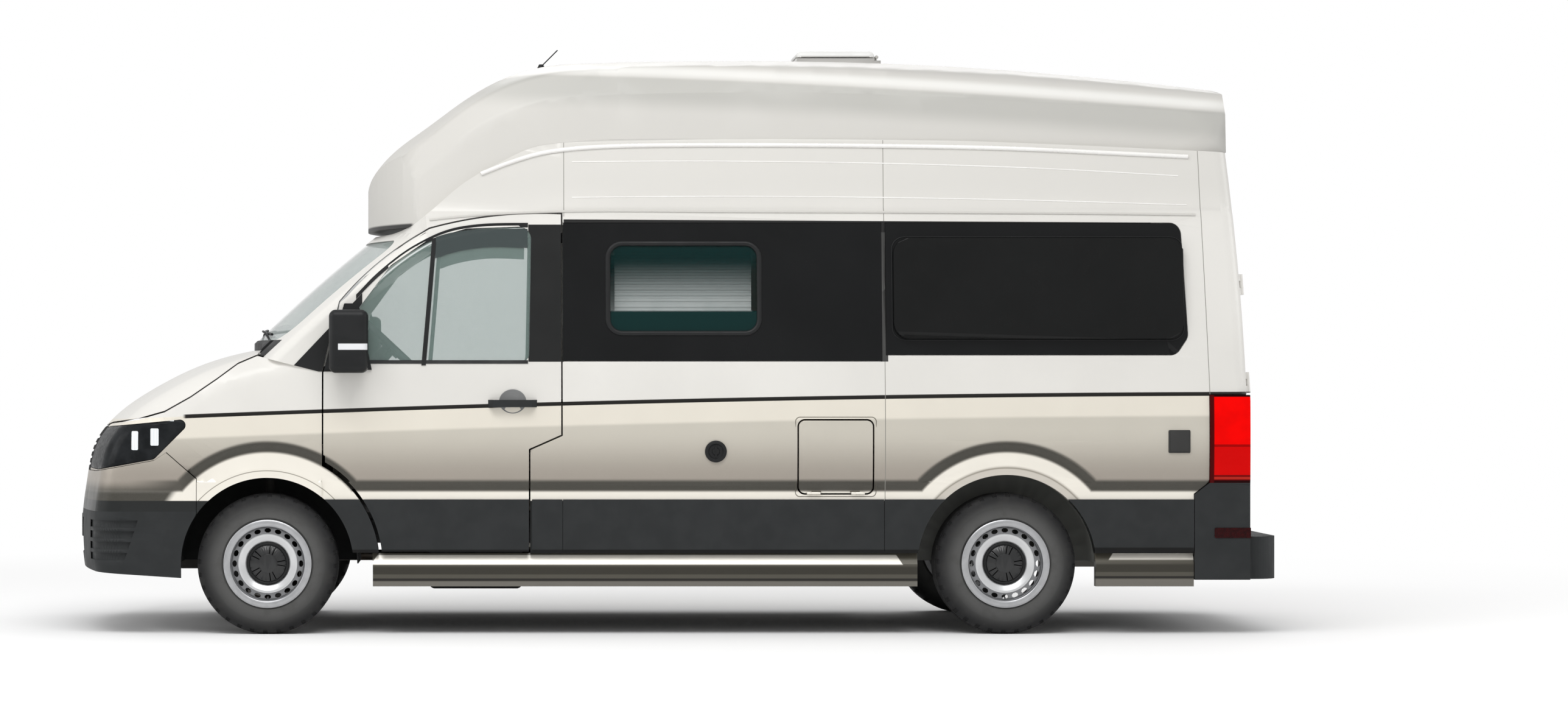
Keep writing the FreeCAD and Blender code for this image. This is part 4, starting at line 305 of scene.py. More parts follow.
def roofFinish(fin, look):
    over = fin.above(*look["shoulder"])
    along = fin.ramp(fin.x, *look["fade"])
    half = look["half"]
    # painted shade: the top a deeper tone than the side
    fin.base(fin.ramp(over, half, half + 0.05), look["color"], look["top"])
    # painted shade under the shoulder
    fin.lay(fin.times(fin.ramp(over, -0.22, -0.12), fin.ramp(over, -0.025, -0.045), along), look["under"])
    # painted highlight along the shoulder
    fin.lay(fin.times(fin.between(over, -half, half, 0.018), along), look["bright"])
    # painted shade under the nose's lip
    shadedLip = fin.times(fin.under(fin.z, look["lipHeight"], 0.006), fin.under(fin.x, look["lipBack"], 0.01))
    fin.lay(shadedLip, look["lip"])
    return fin.coated((0.44, 0.48), 0.04, 0.3)


# Tyre rubber: greyer walls toward the rim, a dark tread
rubberLook = {"tread": (31, 31, 32), "wall": (82, 82, 81), "fade": (0.328, 0.236), "speck": (58, 57, 55)}


def rubberFinish(fin, look):
    fin.base(fin.ramp(fin.nearReach(), *look["fade"]), look["tread"], look["wall"])
    fin.lay(fin.ramp(fin.noise(22.0, 5.0), 0.45, 0.75, 0.0, 0.3), look["speck"])
    return fin.coated((0.68, 0.8), 0.0, 0.3)


# Pressed steel wheel: bright round the middle, deeper between the holes, black cap
wheelLook = {"cap": 0.1032, "ring": 0.1455, "holes": 0.1800, "steel": (178, 179, 181),
        "deep": (128, 129, 131), "bright": (214, 215, 216), "black": (24, 25, 26)}


def wheelFinish(fin, look):
    reach = fin.nearReach()
    fin.mottled(look["steel"], look["deep"], 30.0, 3.0, 0.3, 0.7, 0.2)
    fin.lay(fin.between(reach, look["ring"], look["holes"]), look["deep"])
    fin.lay(fin.between(reach, look["cap"], look["ring"]), look["bright"])
    inCap = fin.under(reach, look["cap"], 0.0004)
    fin.lay(inCap, look["black"])
    return fin.coated((0.28, 0.36), 0.25, Metallic=fin.linear(inCap, -0.6, 0.6))


def surface(fin, look):
    # one plain finish: mottled colour, uneven gloss and a fine grain
    mottle, rough, spread = look.get("mottle", 3.0), look["rough"], 0.06
    fin.mottled(look["color"], look["deep"], mottle, 4.0)
    if "dust" in look:   # road dust settles low down
        low = fin.ramp(fin.z, look["dust"], 0.0)
        fin.lay(fin.times(low, fin.ramp(fin.noise(9.0, 6.0), 0.3, 0.75, 0.1, 0.55)), (120, 110, 96))
    gloss = fin.ramp(fin.noise(mottle * 4, 3.0), 0.3, 0.7, rough - spread, rough + spread)
    fin.bump(fin.noise(look["grain"], 4.0, 0.6), look["depth"], 0.3)
    return fin.done(Roughness=gloss, Metallic=look.get("metal", 0.0), Coat_Weight=look.get("coat", 0.0),
            Coat_Roughness=0.04, Specular_IOR_Level=look.get("specular", 0.5))


def bandedFinish(fin, look):
    # a plain finish with straight bands of other colours across its axes
    fin.mottled(look["color"], look["deep"], 8.0, 3.0)
    for band in look["bands"]:
        share = band.get("share", 1.0)
        for axis in fin.axes:
            if axis in band:
                inBand = fin.between(fin.axes[axis], *band[axis], band.get("soft", 0.0015))
                share = fin.times(share, inBand)
        fin.lay(share, band["color"])
    return fin.coated(look["rough"], 0.0, look.get("specular", 0.4), Emission_Color=fin.color,
            Emission_Strength=look.get("glow", 0.0))


def glassPane(fin, look):
    fin.color = paint(*look["tint"])
    film = fin.ramp(fin.noise(14.0, 3.0), 0.3, 0.7, look["rough"], look["rough"] + 0.02)
    alpha = look["alpha"]
    if "dense" in look:   # nearly opaque low down and along the top: painted shade of the dark inside, each (z from, z to, alpha)
        alpha = fin.calc("MAXIMUM", *[fin.ramp(fin.z, z0, z1, alpha, deep) for z0, z1,
                deep in look["dense"]])
    return fin.done(Roughness=film, Alpha=alpha, IOR=1.5, Specular_IOR_Level=look.get("specular", 0.6))


def clothWeave(fin, look):
    # woven cover: crossing threads, a second shade and a soft sheen
    lift = fin.calc("MAXIMUM", *[fin.wave(way, look["thread"], 1.2) for way in "YZ"])
    fin.base(lift, look["deep"], look["color"])
    fin.lay(fin.ramp(fin.noise(40.0, 5.0), 0.4, 0.7, 0.0, 0.35), look["fleck"])
    fin.bump(lift, 0.0004)
    return fin.done(Roughness=0.9, Sheen_Weight=0.25)


def lampLens(fin, look):
    # clear moulding with fine prisms behind a clear coat
    ribs = fin.wave("X", look["ribs"])
    fin.base(ribs, look["deep"], look["color"])
    fin.bump(ribs, 0.0006)
    return fin.done(Roughness=0.22, Coat_Weight=0.8, Coat_Roughness=0.03,
            Emission_Color=paint(*look["color"]), Emission_Strength=look["glow"])


def woodBoard(fin, look):
    stretched = fin.add("ShaderNodeMapping", Vector=fin.place, Scale=(1.0, 1.0, 9.0)).outputs[0]
    figure = fin.noise(6.0, 8.0, 0.62, stretched)
    fin.base(fin.ramp(figure, 0.35, 0.65), look["color"], look["deep"])
    fin.bump(figure, 0.0003)
    return fin.done(Roughness=0.45)


def tone(color, deep, rough, grain=700.0, depth=0.0001, **more):
    return dict(more, color=color, deep=deep, rough=rough, grain=grain, depth=depth)


plainLooks = {
    # a brighter white than the body: painted highlight on the roof rail and the pressed ribs
    "railPaint": tone((238, 237, 234), (232, 230, 227), 0.3, 240.0, 0.00005, coat=0.4),
    "hatchPlastic": tone((226, 226, 224), (218, 218, 216), 0.35, 300.0, coat=0.2),
    "bowlGrey": tone((132, 133, 133), (120, 121, 121), 0.5, 800.0),
    "blackGloss": tone((17, 18, 19), (13, 14, 15), 0.2, 300.0, 0.00002, coat=0.08, specular=0.18),
    "bulgeGloss": tone((14, 15, 15), (11, 12, 12), 0.22, 300.0, 0.00002, coat=0.08, specular=0.2),
    "blackTrim": tone((24, 25, 26), (20, 21, 22), 0.5, 800.0, 0.0002, specular=0.3),
    "greyTrim": tone((56, 56, 55), (50, 50, 49), 0.55, 800.0, 0.0002, specular=0.3),
    "darkSteel": tone((36, 36, 38), (28, 28, 29), 0.6, 160.0, 0.0005, metal=0.3, dust=0.5),
    "bareSteel": tone((120, 117, 112), (92, 84, 74), 0.45, 120.0, 0.0004, metal=0.8, dust=0.4),
    "castIron": tone((58, 57, 56), (44, 42, 40), 0.7, 90.0, 0.001, metal=0.4),
    "dashPlastic": tone((42, 43, 45), (36, 37, 39), 0.7, 600.0, 0.0003),
    "satinChrome": tone((205, 207, 209), (190, 192, 195), 0.16, 200.0, 0.00002, metal=1.0),
    "pressedMetal": tone((96, 91, 80), (84, 80, 70), 0.4, 500.0, metal=0.3),
    "plateWhite": tone((214, 215, 214), (206, 207, 206), 0.4, 900.0),
    "floorVinyl": tone((128, 120, 108), (104, 97, 87), 0.5, 60.0, 0.0003, mottle=9.0),
    "reflectorRed": tone((48, 5, 7), (34, 4, 5), 0.3, 400.0, 0.0002, mottle=60.0, specular=0.12),
    "lampDark": tone((34, 36, 38), (22, 24, 26), 0.34, mottle=14.0, coat=0.03, specular=0.08),
    "grilleBlack": tone((20, 21, 21), (14, 15, 15), 0.6, 500.0, 0.0002, specular=0.06),
}
# the mirror's window and the bright streak in it, each (x from, z limits, color)
mirrorRows = ((-1.75, (1.372, 1.450), (26, 27, 28)), (-1.645, (1.400, 1.430), (225, 226, 228)))
windowBands = [{"x": (start, -1.3), "y": y, "z": z, "color": color}
               for y in ((-1.3, -1.1), (1.1, 1.3)) for start, z, color in mirrorRows]
tailBands = [{"z": z, "color": color} for z, color in (
    ((0.924, 0.936), (150, 4, 4)), ((0.70, 0.786), (112, 10, 10)), ((0.765, 0.776), (168, 40, 30)),
    ((0.70, 0.760), (34, 4, 5)), ((1.170, 1.30), (30, 4, 5)))]
# painted shade: the blind darker towards the top
blindShadeBands = [{"z": (z, 2.10), "color": color, "soft": 0.05} for z, color in (
    (1.655, (150, 156, 155)), (1.73, (96, 104, 103)), (1.82, (30, 50, 50)))]
bandedLooks = {
    "mirrorShell": tone((29, 30, 31), (24, 25, 26), (0.4, 0.5), specular=0.25, bands=windowBands),
    "tailRed": tone((232, 3, 2), (220, 3, 2), (0.2, 0.26), specular=0.04, glow=0.12, bands=[
        {"z": (0.70, 0.926), "color": (188, 8, 8), "share": 0.8}, *tailBands,
        {"x": (2.5, 2.656), "color": (70, 8, 9)}]),
    "cladding": tone((42, 44, 45), (38, 40, 41), (0.56, 0.68), specular=0.25, bands=[
        # painted shadow: near black along the cladding's bottom edge, over the gap above the sill
        {"x": (-1.8, 1.25), "z": (0.30, 0.4185), "color": (8, 8, 8)},
        {"x": (2.0, 2.56), "z": (0.30, 0.4285), "color": (8, 8, 8)}]),
    # the glow on the cloth is painted light
    "blindCloth": tone((206, 211, 210), (198, 204, 203), (0.7, 0.8), glow=0.16, bands=blindShadeBands),
    # the rear liners (x over 0) painted lighter than the front ones: painted light on one plastic
    "linerGrey": tone((34, 35, 35), (28, 29, 29), (0.7, 0.8), specular=0.3, bands=[
        {"x": (0.0, 3.0), "color": (124, 125, 121)}]),
}
glassLooks = {
    "cabGlass": {"tint": (150, 172, 166), "rough": 0.0, "alpha": 0.26},
    "screenGlass": {"tint": (176, 192, 188), "rough": 0.0, "alpha": 0.3},
    "tealGlass": {"tint": (2, 38, 37), "specular": 0.2, "rough": 0.0, "alpha": 0.14,
        "dense": ((1.598, 1.585, 0.985), (1.76, 1.93, 0.85))},
    "shadeGlass": {"tint": (58, 68, 68), "rough": 0.02, "alpha": 0.86},
    "rearGlass": {"tint": (14, 18, 19), "rough": 0.0, "alpha": 0.82},
}
clothLooks = {
    "seatCloth": {"color": (74, 76, 80), "deep": (44, 45, 48), "fleck": (110, 112, 116), "thread": 340.0},
    "bedCloth": {"color": (150, 147, 140), "deep": (116, 113, 106), "fleck": (176, 172, 164),
                 "thread": 240.0},
}
woodLooks = {"cabinWood": {"color": (196, 181, 158), "deep": (172, 154, 128)}}
lensLooks = {"lampClear": {"color": (236, 240, 242), "deep": (180, 186, 190), "ribs": 40.0, "glow": 0.25}}
makers = (
    (twoTonePaint, {"coachPaint": bodyPaint}), (sillFinish, {"sillPaint": sillLook}),
    (roofFinish, {"roofPaint": roofLook}), (rubberFinish, {"tyreRubber": rubberLook}),
    (wheelFinish, {"wheelSilver": wheelLook}), (surface, plainLooks), (bandedFinish, bandedLooks),
    (glassPane, glassLooks), (clothWeave, clothLooks), (woodBoard, woodLooks), (lampLens, lensLooks),
)
finishes = {}
for make, looks in makers:
    for name, settings in looks.items():
        finishes[name] = make(Finish(name), settings)
print("camper: finishes made")


# Mesh helpers

def show(name, data):
    piece = bpy.data.objects.new(name, data)
    scene.collection.objects.link(piece)
    return piece


def settle(name, bm, finish, body="body", angle=35, mirror=False, clean=True):
    # turns a bmesh into a shown piece that rides on a body
    if mirror:
        bmesh.ops.scale(bm, vec=(1, -1, 1), verts=bm.verts)
    if clean:
        bmesh.ops.remove_doubles(bm, verts=bm.verts, dist=0.00002)
        bmesh.ops.recalc_face_normals(bm, faces=bm.faces)
    mesh = bpy.data.meshes.new(name)
    bm.to_mesh(mesh)
    bm.free()
    mesh.materials.append(finishes[finish])
    mesh.shade_smooth()
    mesh.set_sharp_from_angle(angle=math.radians(angle))
    piece = show(name, mesh)
    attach(piece, body)
    return piece


def nodeMesh(node):
    bm = bmesh.new()
    bm.from_mesh(nodes[node].data)
    bmesh.ops.remove_doubles(bm, verts=bm.verts, dist=0.00003)
    return bm


def dress(node, finish):
    # a smooth-shaded copy of a CAD node, which it then stands for
    bm = nodeMesh(node)
    piece = settle(node + "_surface", bm, finish, bodyOf[node], 30, clean=False)
    keeper = piece.modifiers.new("evenNormals", "WEIGHTED_NORMAL")
    keeper.keep_sharp = True
    keeper.weight = 60
    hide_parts(node)


def block(bm, low, high, bevel=0.0, segments=2):
    # a box between two corners, its edges rounded
    verts = bmesh.ops.create_cube(bm, size=1.0)["verts"]
    low, high = Vector(low), Vector(high)
    bmesh.ops.scale(bm, vec=high - low, verts=verts)
    bmesh.ops.translate(bm, vec=(high + low) / 2, verts=verts)
    edges = list({edge for vert in verts for edge in vert.link_edges})
    rounded = bmesh.ops.bevel(bm, geom=edges, offset=bevel, affect="EDGES", segments=segments, profile=0.5,
            material=-1)
    return list({vert for face in rounded["faces"] for vert in face.verts} | {v for v in verts if v.is_valid})


def boxPiece(name, finish, boxes, seat=(0, 0, 0), body="body", angle=35):
    # a piece of rounded boxes, each (low corner, high corner, bevel, bevel steps)
    bm = bmesh.new()
    for low, high, *edge in boxes:
        block(bm, Vector(seat) + Vector(low), Vector(seat) + Vector(high), *edge)
    settle(name, bm, finish, body, angle)


def lathe(bm, centre, axis, profile, steps=48):
    # spins (radius, height) pairs about an axis through the centre
    axis = Vector(axis).normalized()
    across = axis.orthogonal().normalized()
    verts = [bm.verts.new(Vector(centre) + across * radius + axis * height) for radius, height in profile]
    edges = [bm.edges.new(pair) for pair in zip(verts, verts[1:])]
    bmesh.ops.spin(bm, geom=verts + edges, cent=centre, axis=axis, angle=math.tau, steps=steps,
            use_merge=True, use_duplicate=False)


def bridge(bm, rings):
    # joins each ring of vertices to the next by a band of faces
    for pair in zip(rings, rings[1:]):
        edges = []
        for ring in pair:
            edges += [e for e in {e for v in ring for e in v.link_edges} if all(w in ring for w in e.verts)]
        bmesh.ops.bridge_loops(bm, edges=edges)


def surfaceTree(*names):
    bm = bmesh.new()
    for name in names:
        bm.from_mesh(nodes[name].data)
    tree = BVHTree.FromBMesh(bm)
    bm.free()
    return tree


leftSide = surfaceTree(
    "side_panel_left", "door_left", "front_fenders", "sills", "rear_bumper", "front_bumper", "bumper_lower",
    "side_panes", "window_bulges", "service_hatch", "door_trim_left", "tail_lamps", "headlamps",
    "roof_shell", "cladding", "door_glass_left")


def onSide(x, z, out=0.0, tree=leftSide):
    # the point over the left side's surface at a station and height
    hit, normal, _, _ = tree.ray_cast(Vector((x, -1.6, z)), Vector((0, 1, 0)))
    if hit is None:
        return None
    return hit + (-normal if normal.y > 0 else normal) * out


def patch(name, node, planes, finish, thickness, lift, body, mirror, facing=(0, -1, 0)):
    # a raised skin cut out of a node's own surface, bounded by planes given as (point, inward direction)
    bm = nodeMesh(node)
    away = Vector(facing).normalized()
    bm.normal_update()
    bmesh.ops.delete(bm, geom=[face for face in bm.faces if face.normal.dot(away) < 0.25], context="FACES")
    for point, inward in planes:
        geom = list(bm.verts) + list(bm.edges) + list(bm.faces)
        bmesh.ops.bisect_plane(bm, geom=geom, plane_co=point, plane_no=inward, clear_inner=True,
                clear_outer=False)
    bm.normal_update()
    moves = [(vert, vert.normal * lift) for vert in bm.verts]
    for vert, move in moves:
        vert.co += move
    bmesh.ops.solidify(bm, geom=list(bm.faces), thickness=thickness)
    settle(name, bm, finish, body, 32, mirror)


def sideBox(x0, x1, z0, z1, corner):
    # planes that bound a rectangle of the side, corners clipped
    planes = [((x0, 0, 0), (1, 0, 0)), ((x1, 0, 0), (-1, 0, 0)), ((0, 0, z0), (0, 0, 1)),
            ((0, 0, z1), (0, 0, -1))]
    for x, z, dx, dz in ((x0, z0, 1, 1), (x1, z0, -1, 1), (x0, z1, 1, -1), (x1, z1, -1, -1)):
        for turn in (22.5, 45.0, 67.5):
            way = Vector((dx * math.cos(math.radians(turn)), 0, dz * math.sin(math.radians(turn))))
            planes.append((Vector((x + dx * corner, 0, z + dz * corner)) - way * corner, way))
    return planes


def tube(name, points, radius, finish, steps):
    # a round bar through points, capped at its ends
    bm = bmesh.new()
    rings = []
    for i, point in enumerate(points):
        ahead = points[min(i + 1, len(points) - 1)] - points[max(i - 1, 0)]
        turn = ahead.to_track_quat("Z", "Y").to_matrix().to_4x4()
        made = bmesh.ops.create_circle(bm, cap_ends=i in (0, len(points) - 1), radius=radius,
                segments=steps, matrix=Matrix.Translation(point) @ turn)
        rings.append(made["verts"])
    bridge(bm, rings)
    settle(name, bm, finish, angle=50)


# Finish of every node that keeps its own shape
dressed = (
    ("coachPaint", "side_panel_left side_panel_right door_left door_right sliding_door rear_door_left"),
    ("coachPaint", "rear_door_right front_fenders hood front_bumper service_hatch"),
    ("roofPaint", "roof_shell"), ("sillPaint", "sills"), ("cladding", "cladding"), ("blackTrim", "cowl"),
    ("grilleBlack", "grille"), ("cladding", "bumper_lower rear_bumper door_trim_left door_trim_right"),
    ("blackGloss", "side_panes"), ("bulgeGloss", "window_bulges"), ("screenGlass", "windscreen"),
    ("cabGlass", "door_glass_left door_glass_right"), ("tealGlass", "side_windows"),
    ("rearGlass", "rear_glass_left rear_glass_right"), ("lampDark", "headlamps"), ("tailRed", "tail_lamps"),
    ("mirrorShell", "mirror_left mirror_right"), ("hatchPlastic", "roof_hatch"), ("blackTrim", "antenna"),
    ("dashPlastic", "dashboard steering_wheel"), ("darkSteel", "seat_bases"), ("cabinWood", "furniture"),
    ("darkSteel", "underbody"), ("linerGrey", "wheel_liners"), ("darkSteel", "front_subframe rear_axle"),
    ("castIron", "knuckle_left knuckle_right engine_block"), ("bareSteel", "exhaust"),
    ("blackTrim", "fuel_tank"),
    ("wheelSilver", "rim_front_left rim_front_right rim_rear_left rim_rear_right"),
)
for finish, names in dressed:
    for node in names.split():
        dress(node, finish)
print("camper: body dressed")


# Tyres: a rounded casing with wide grooves round it and notched shoulders
tyreLook = {
    "radius": 0.347, "half": 0.1175, "bead": 0.2035, "grooveDepth": 0.008,
    "grooves": (-0.42, -0.14, 0.14, 0.42), "notchDepth": 0.006, "steps": 96,
    # each (height over the bead, share of the half width), then each (share of the radius, the same)
    "lowWall": ((0.0, 0.70), (0.006, 0.80), (0.02, 0.90), (0.024, 0.935), (0.03, 0.93), (0.05, 0.965),
        (0.075, 0.985), (0.078, 0.992), (0.083, 0.992), (0.086, 0.985)),
    "highWall": ((0.9, 0.972), (0.94, 0.93), (0.965, 0.88)),
}
wheelPlaces = {"front_left": (-2.002, -0.873), "front_right": (-2.002, 0.873), "rear_left": (1.638, -0.859),
        "rear_right": (1.638, 0.859)}


def makeTyre(name, x, y, look):
    radius, half, bead, steps = look["radius"], look["half"], look["bead"], look["steps"]
    floor = radius - look["grooveDepth"]
    tread = []
    for share in look["grooves"]:
        tread += [(radius, half * (share - 0.045)), (floor, half * (share - 0.035)),
                (floor, half * (share + 0.035)), (radius, half * (share + 0.045))]
    wall = [(bead + rise, width) for rise, width in look["lowWall"]]
    wall += [(radius * share, width) for share, width in look["highWall"]]
    wall += [(radius - 0.006, 0.80), (radius - 0.001, 0.70), (radius, 0.62)]
    profile = [(r, -half * w) for r, w in wall] + tread + [(r, half * w) for r, w in reversed(wall)]
    centre = Vector((x, y, radius))
    bm = bmesh.new()
    lathe(bm, centre, (0, 1, 0), profile + [profile[0]], steps)
    bmesh.ops.remove_doubles(bm, verts=bm.verts, dist=0.00005)
    bmesh.ops.recalc_face_normals(bm, faces=bm.faces)
    notched = []
    for face in bm.faces:
        arm = face.calc_center_median() - centre
        turn = int((math.atan2(arm.x, arm.z) / math.tau + 1) * steps + 0.25) % steps
        if math.hypot(arm.x, arm.z) > radius * 0.935 and abs(arm.y) > half * 0.6 and turn % 3 == 0:
            notched.append(face)
    bmesh.ops.inset_individual(bm, faces=notched, thickness=0.0012, depth=0.0)
    for face in notched:
        bmesh.ops.translate(bm, vec=-face.normal * look["notchDepth"] * 0.5, verts=face.verts)
    piece = settle("tyre_" + name + "_tread", bm, "tyreRubber", bodyOf["tyre_" + name],
            clean=False)
    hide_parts("tyre_" + name)


# Wheel trim: a black cap with ribs, a bright ring pressed round it, the flange's edge, valve and bolts
trimLook = {
    "cap": [(0.0, 0.080), (0.030, 0.080), (0.040, 0.0785), (0.045, 0.0755), (0.0455, 0.0705),
            (0.050, 0.0690), (0.088, 0.0680), (0.094, 0.0720), (0.099, 0.0725), (0.1035, 0.0690),
            (0.1040, 0.0560)],
    "ring": [(0.1050, 0.058), (0.1080, 0.0665), (0.1140, 0.0705), (0.1220, 0.0735), (0.1330, 0.0800),
        (0.1400, 0.0822), (0.1450, 0.0815)],
    "flange": (0.2010, 0.1115), "flangeHalf": (0.0165, 0.0045), "ribs": 5, "ribSpread": 0.16,
    "ribOut": 0.0705,
    "rib": ((-0.0035, -0.0035, 0.046), (0.0035, 0.0035, 0.092), 0.0012), "bolts": 6, "boltCircle": 0.074,
}


def makeWheelTrim(name, x, y, look):
    side = -1 if y < 0 else 1
    body = bodyOf["rim_" + name]
    axis = (0, side, 0)
    centre = Vector((x, y, tyreLook["radius"]))
    bm = bmesh.new()
    lathe(bm, centre, axis, look["cap"], 64)
    outward = Matrix.Translation(centre + Vector((0, side * look["ribOut"], 0)))
    for i in range(look["ribs"]):
        turn = Matrix.Rotation(math.tau * i / look["ribs"] + 0.3, 4, "Y")
        for spread in (-1, 1):
            rib = Matrix.Rotation(spread * look["ribSpread"], 4, "Y")
            bmesh.ops.transform(bm, matrix=outward @ turn @ rib, verts=block(bm, *look["rib"]))
    settle("wheel_cap_" + name, bm, "blackTrim", body)
    bm = bmesh.new()
    lathe(bm, centre, axis, look["ring"], 72)
    bm.normal_update()
    bmesh.ops.solidify(bm, geom=list(bm.faces), thickness=0.002)
    settle("wheel_ring_" + name, bm, "wheelSilver", body, 40)
    bm = bmesh.new()   # rolled edge of the flange and the valve
    (reach, out), (tall, wide) = look["flange"], look["flangeHalf"]
    turns = [math.tau * i / 10 for i in range(11)]
    lathe(bm, centre, axis, [(reach + tall * math.cos(t), out + wide * math.sin(t)) for t in turns], 72)
    lean = Matrix.Rotation(side * math.radians(72), 4, "X")
    bmesh.ops.create_cone(bm, cap_ends=True, segments=12, radius1=0.0048, radius2=0.0034, depth=0.036,
            matrix=Matrix.Translation(centre + Vector((0.0, side * 0.072, -0.168))) @ lean)
    settle("wheel_edge_" + name, bm, "wheelSilver", body, 40)
    bm = bmesh.new()
    for i in range(look["bolts"]):
        turn = math.tau * i / look["bolts"]
        spot = Matrix.Rotation(turn, 3, "Y") @ Vector((0, 0, look["boltCircle"]))
        place = Matrix.Translation(centre + spot + Vector((0, side * 0.0695, 0)))
        bmesh.ops.create_cone(bm, cap_ends=True, segments=6, radius1=0.0075, radius2=0.0068, depth=0.007,
                matrix=place @ Matrix.Rotation(math.radians(-90) * side, 4, "X"))
    settle("wheel_bolts_" + name, bm, "darkSteel", body, 30)


for name, (x, y) in wheelPlaces.items():
    makeTyre(name, x, y, tyreLook)
    makeWheelTrim(name, x, y, trimLook)
print("camper: wheels made")


# Shallow finger bowls behind the handle bars, with a raised lip
bowlLook = {"wide": 0.067, "tall": 0.060, "height": 1.147, "profile": [
    (0.0, 0.0008), (0.5, 0.001), (0.88, 0.0022), (0.94, 0.004), (0.98, 0.0042), (1.0, 0.002),
    (1.0, -0.006)]}
doorSide = surfaceTree("door_left", "side_panel_left")
for name, x, mirrored, body in (("cab_left", -0.7935, False, "door_left"),
        ("cab_right", -0.7935, True, "door_right"), ("sliding", -0.362, True, "body")):
    bm = bmesh.new()
    lathe(bm, Vector((0, 0, 0)), (0, -1, 0), bowlLook["profile"])
    bmesh.ops.scale(bm, vec=(bowlLook["wide"], 1, bowlLook["tall"]), verts=bm.verts)
    bmesh.ops.translate(bm, vec=onSide(x, bowlLook["height"], tree=doorSide), verts=bm.verts)
    settle("handle_bowl_" + name, bm, "bowlGrey", body, 40, mirrored)

# round filler cap and square power inlet on the driver's side
capSeat = onSide(0.206, 0.901)
bm = bmesh.new()
lathe(bm, capSeat, (0, -1, 0), [(0.0, 0.011), (0.016, 0.011), (0.020, 0.006), (0.033, 0.006),
        (0.038, 0.011), (0.048, 0.011), (0.0535, 0.008), (0.054, -0.002)])
block(bm, capSeat + Vector((-0.004, -0.014, -0.026)), capSeat + Vector((0.004, -0.006, 0.026)), 0.002)
settle("filler_cap", bm, "blackTrim")
boxPiece("power_inlet", "greyTrim", [((-0.054, -0.009, -0.0565), (0.054, 0.004, 0.0565), 0.006,
        3),
        ((-0.047, -0.0125, -0.049), (0.047, -0.006, 0.049), 0.0025)],
        onSide(2.486, 0.95))

# black foot of the mirror: on the pillar and the door's corner
sailEdges = [((-1.879, 0, 1.316), (0.727, 0, -0.686)), ((0, 0, 1.294), (0, 0, 1))]
for side, mirrored in sides:
    patch("mirror_sail_" + side, "side_panel_left", sailEdges + [((-1.560, 0, 0), (-1, 0, 0))],
          "blackTrim", 0.003, 0.0035, "body", mirrored)
    patch("mirror_foot_" + side, "door_left", sailEdges + [((-1.768, 0, 0), (1, 0, 0)),
            ((-1.535, 0, 0), (-1, 0, 0))],
          "blackTrim", 0.002, 0.002, "door_" + side, mirrored)


# Bars along the tall steel side: the rail under the roof shell, the gutter and two pressed ribs; the rail and
# ribs in a brighter white, a painted highlight
barLook = {
    "roof_rail": (0.011, "railPaint", 8, 0.001, [
        (-1.35, 2.087), (-1.15, 2.187), (-0.95, 2.272), (-0.78, 2.337), (-0.60, 2.384), (-0.3, 2.409),
        (0.2, 2.415), (0.9, 2.412), (1.6, 2.400), (2.2, 2.374), (2.55, 2.357)]),
    "drip_gutter": (0.006, "roofPaint", 6, 0.001, [
        (-1.42, 2.006), (-1.1, 2.055), (-0.547, 2.085), (0.4, 2.083), (1.2, 2.08), (2.0, 2.075),
        (2.58, 2.068)]),
    "side_rib_upper": (0.0035, "railPaint", 6, -0.001, [
        (-0.50, 2.332), (0.2, 2.335), (1.0, 2.325), (1.8, 2.300), (2.50, 2.262)]),
    "side_rib_lower": (0.0035, "railPaint", 6, -0.001, [
        (-0.50, 2.155), (0.2, 2.160), (1.0, 2.155), (1.8, 2.140), (2.54, 2.118)]),
}


def smoothPath(points, steps):
    # extra points between, eased through the given ones
    path = []
    for i in range(len(points) - 1):
        p0, p1, p2, p3 = (Vector(points[max(0, min(len(points) - 1, i + k))]) for k in (-1, 0, 1, 2))
        for j in range(steps):
            t = j / steps
            bend = (2 * p0 - 5 * p1 + 4 * p2 - p3) * t * t + (3 * p1 - p0 - 3 * p2 + p3) * t * t * t
            path.append(0.5 * ((2 * p1) + (p2 - p0) * t + bend))
    return path + [Vector(points[-1])]


steelSide = surfaceTree("side_panel_left")
for name, (radius, finish, steps, out, line) in barLook.items():
    places = [onSide(flat.x, flat.y, out, steelSide) for flat in smoothPath(line, 4)]
    for side, mirrored in sides:
        path = [Vector((p.x, -p.y if mirrored else p.y, p.z)) for p in places if p is not None]
        tube(name + "_" + side, path, radius, finish, steps)


# Cab window: tinted wind deflector along the top edge, the slim post of the quarter glass, and edges
windowSide = surfaceTree("door_glass_left", "door_trim_left", "door_left")
windowEdge = [(-1.565, 1.655), (-1.46, 1.762), (-1.33, 1.866), (-1.20, 1.941), (-1.10, 1.980),
        (-1.00, 1.999), (-0.885, 2.008), (-0.718, 2.010)]
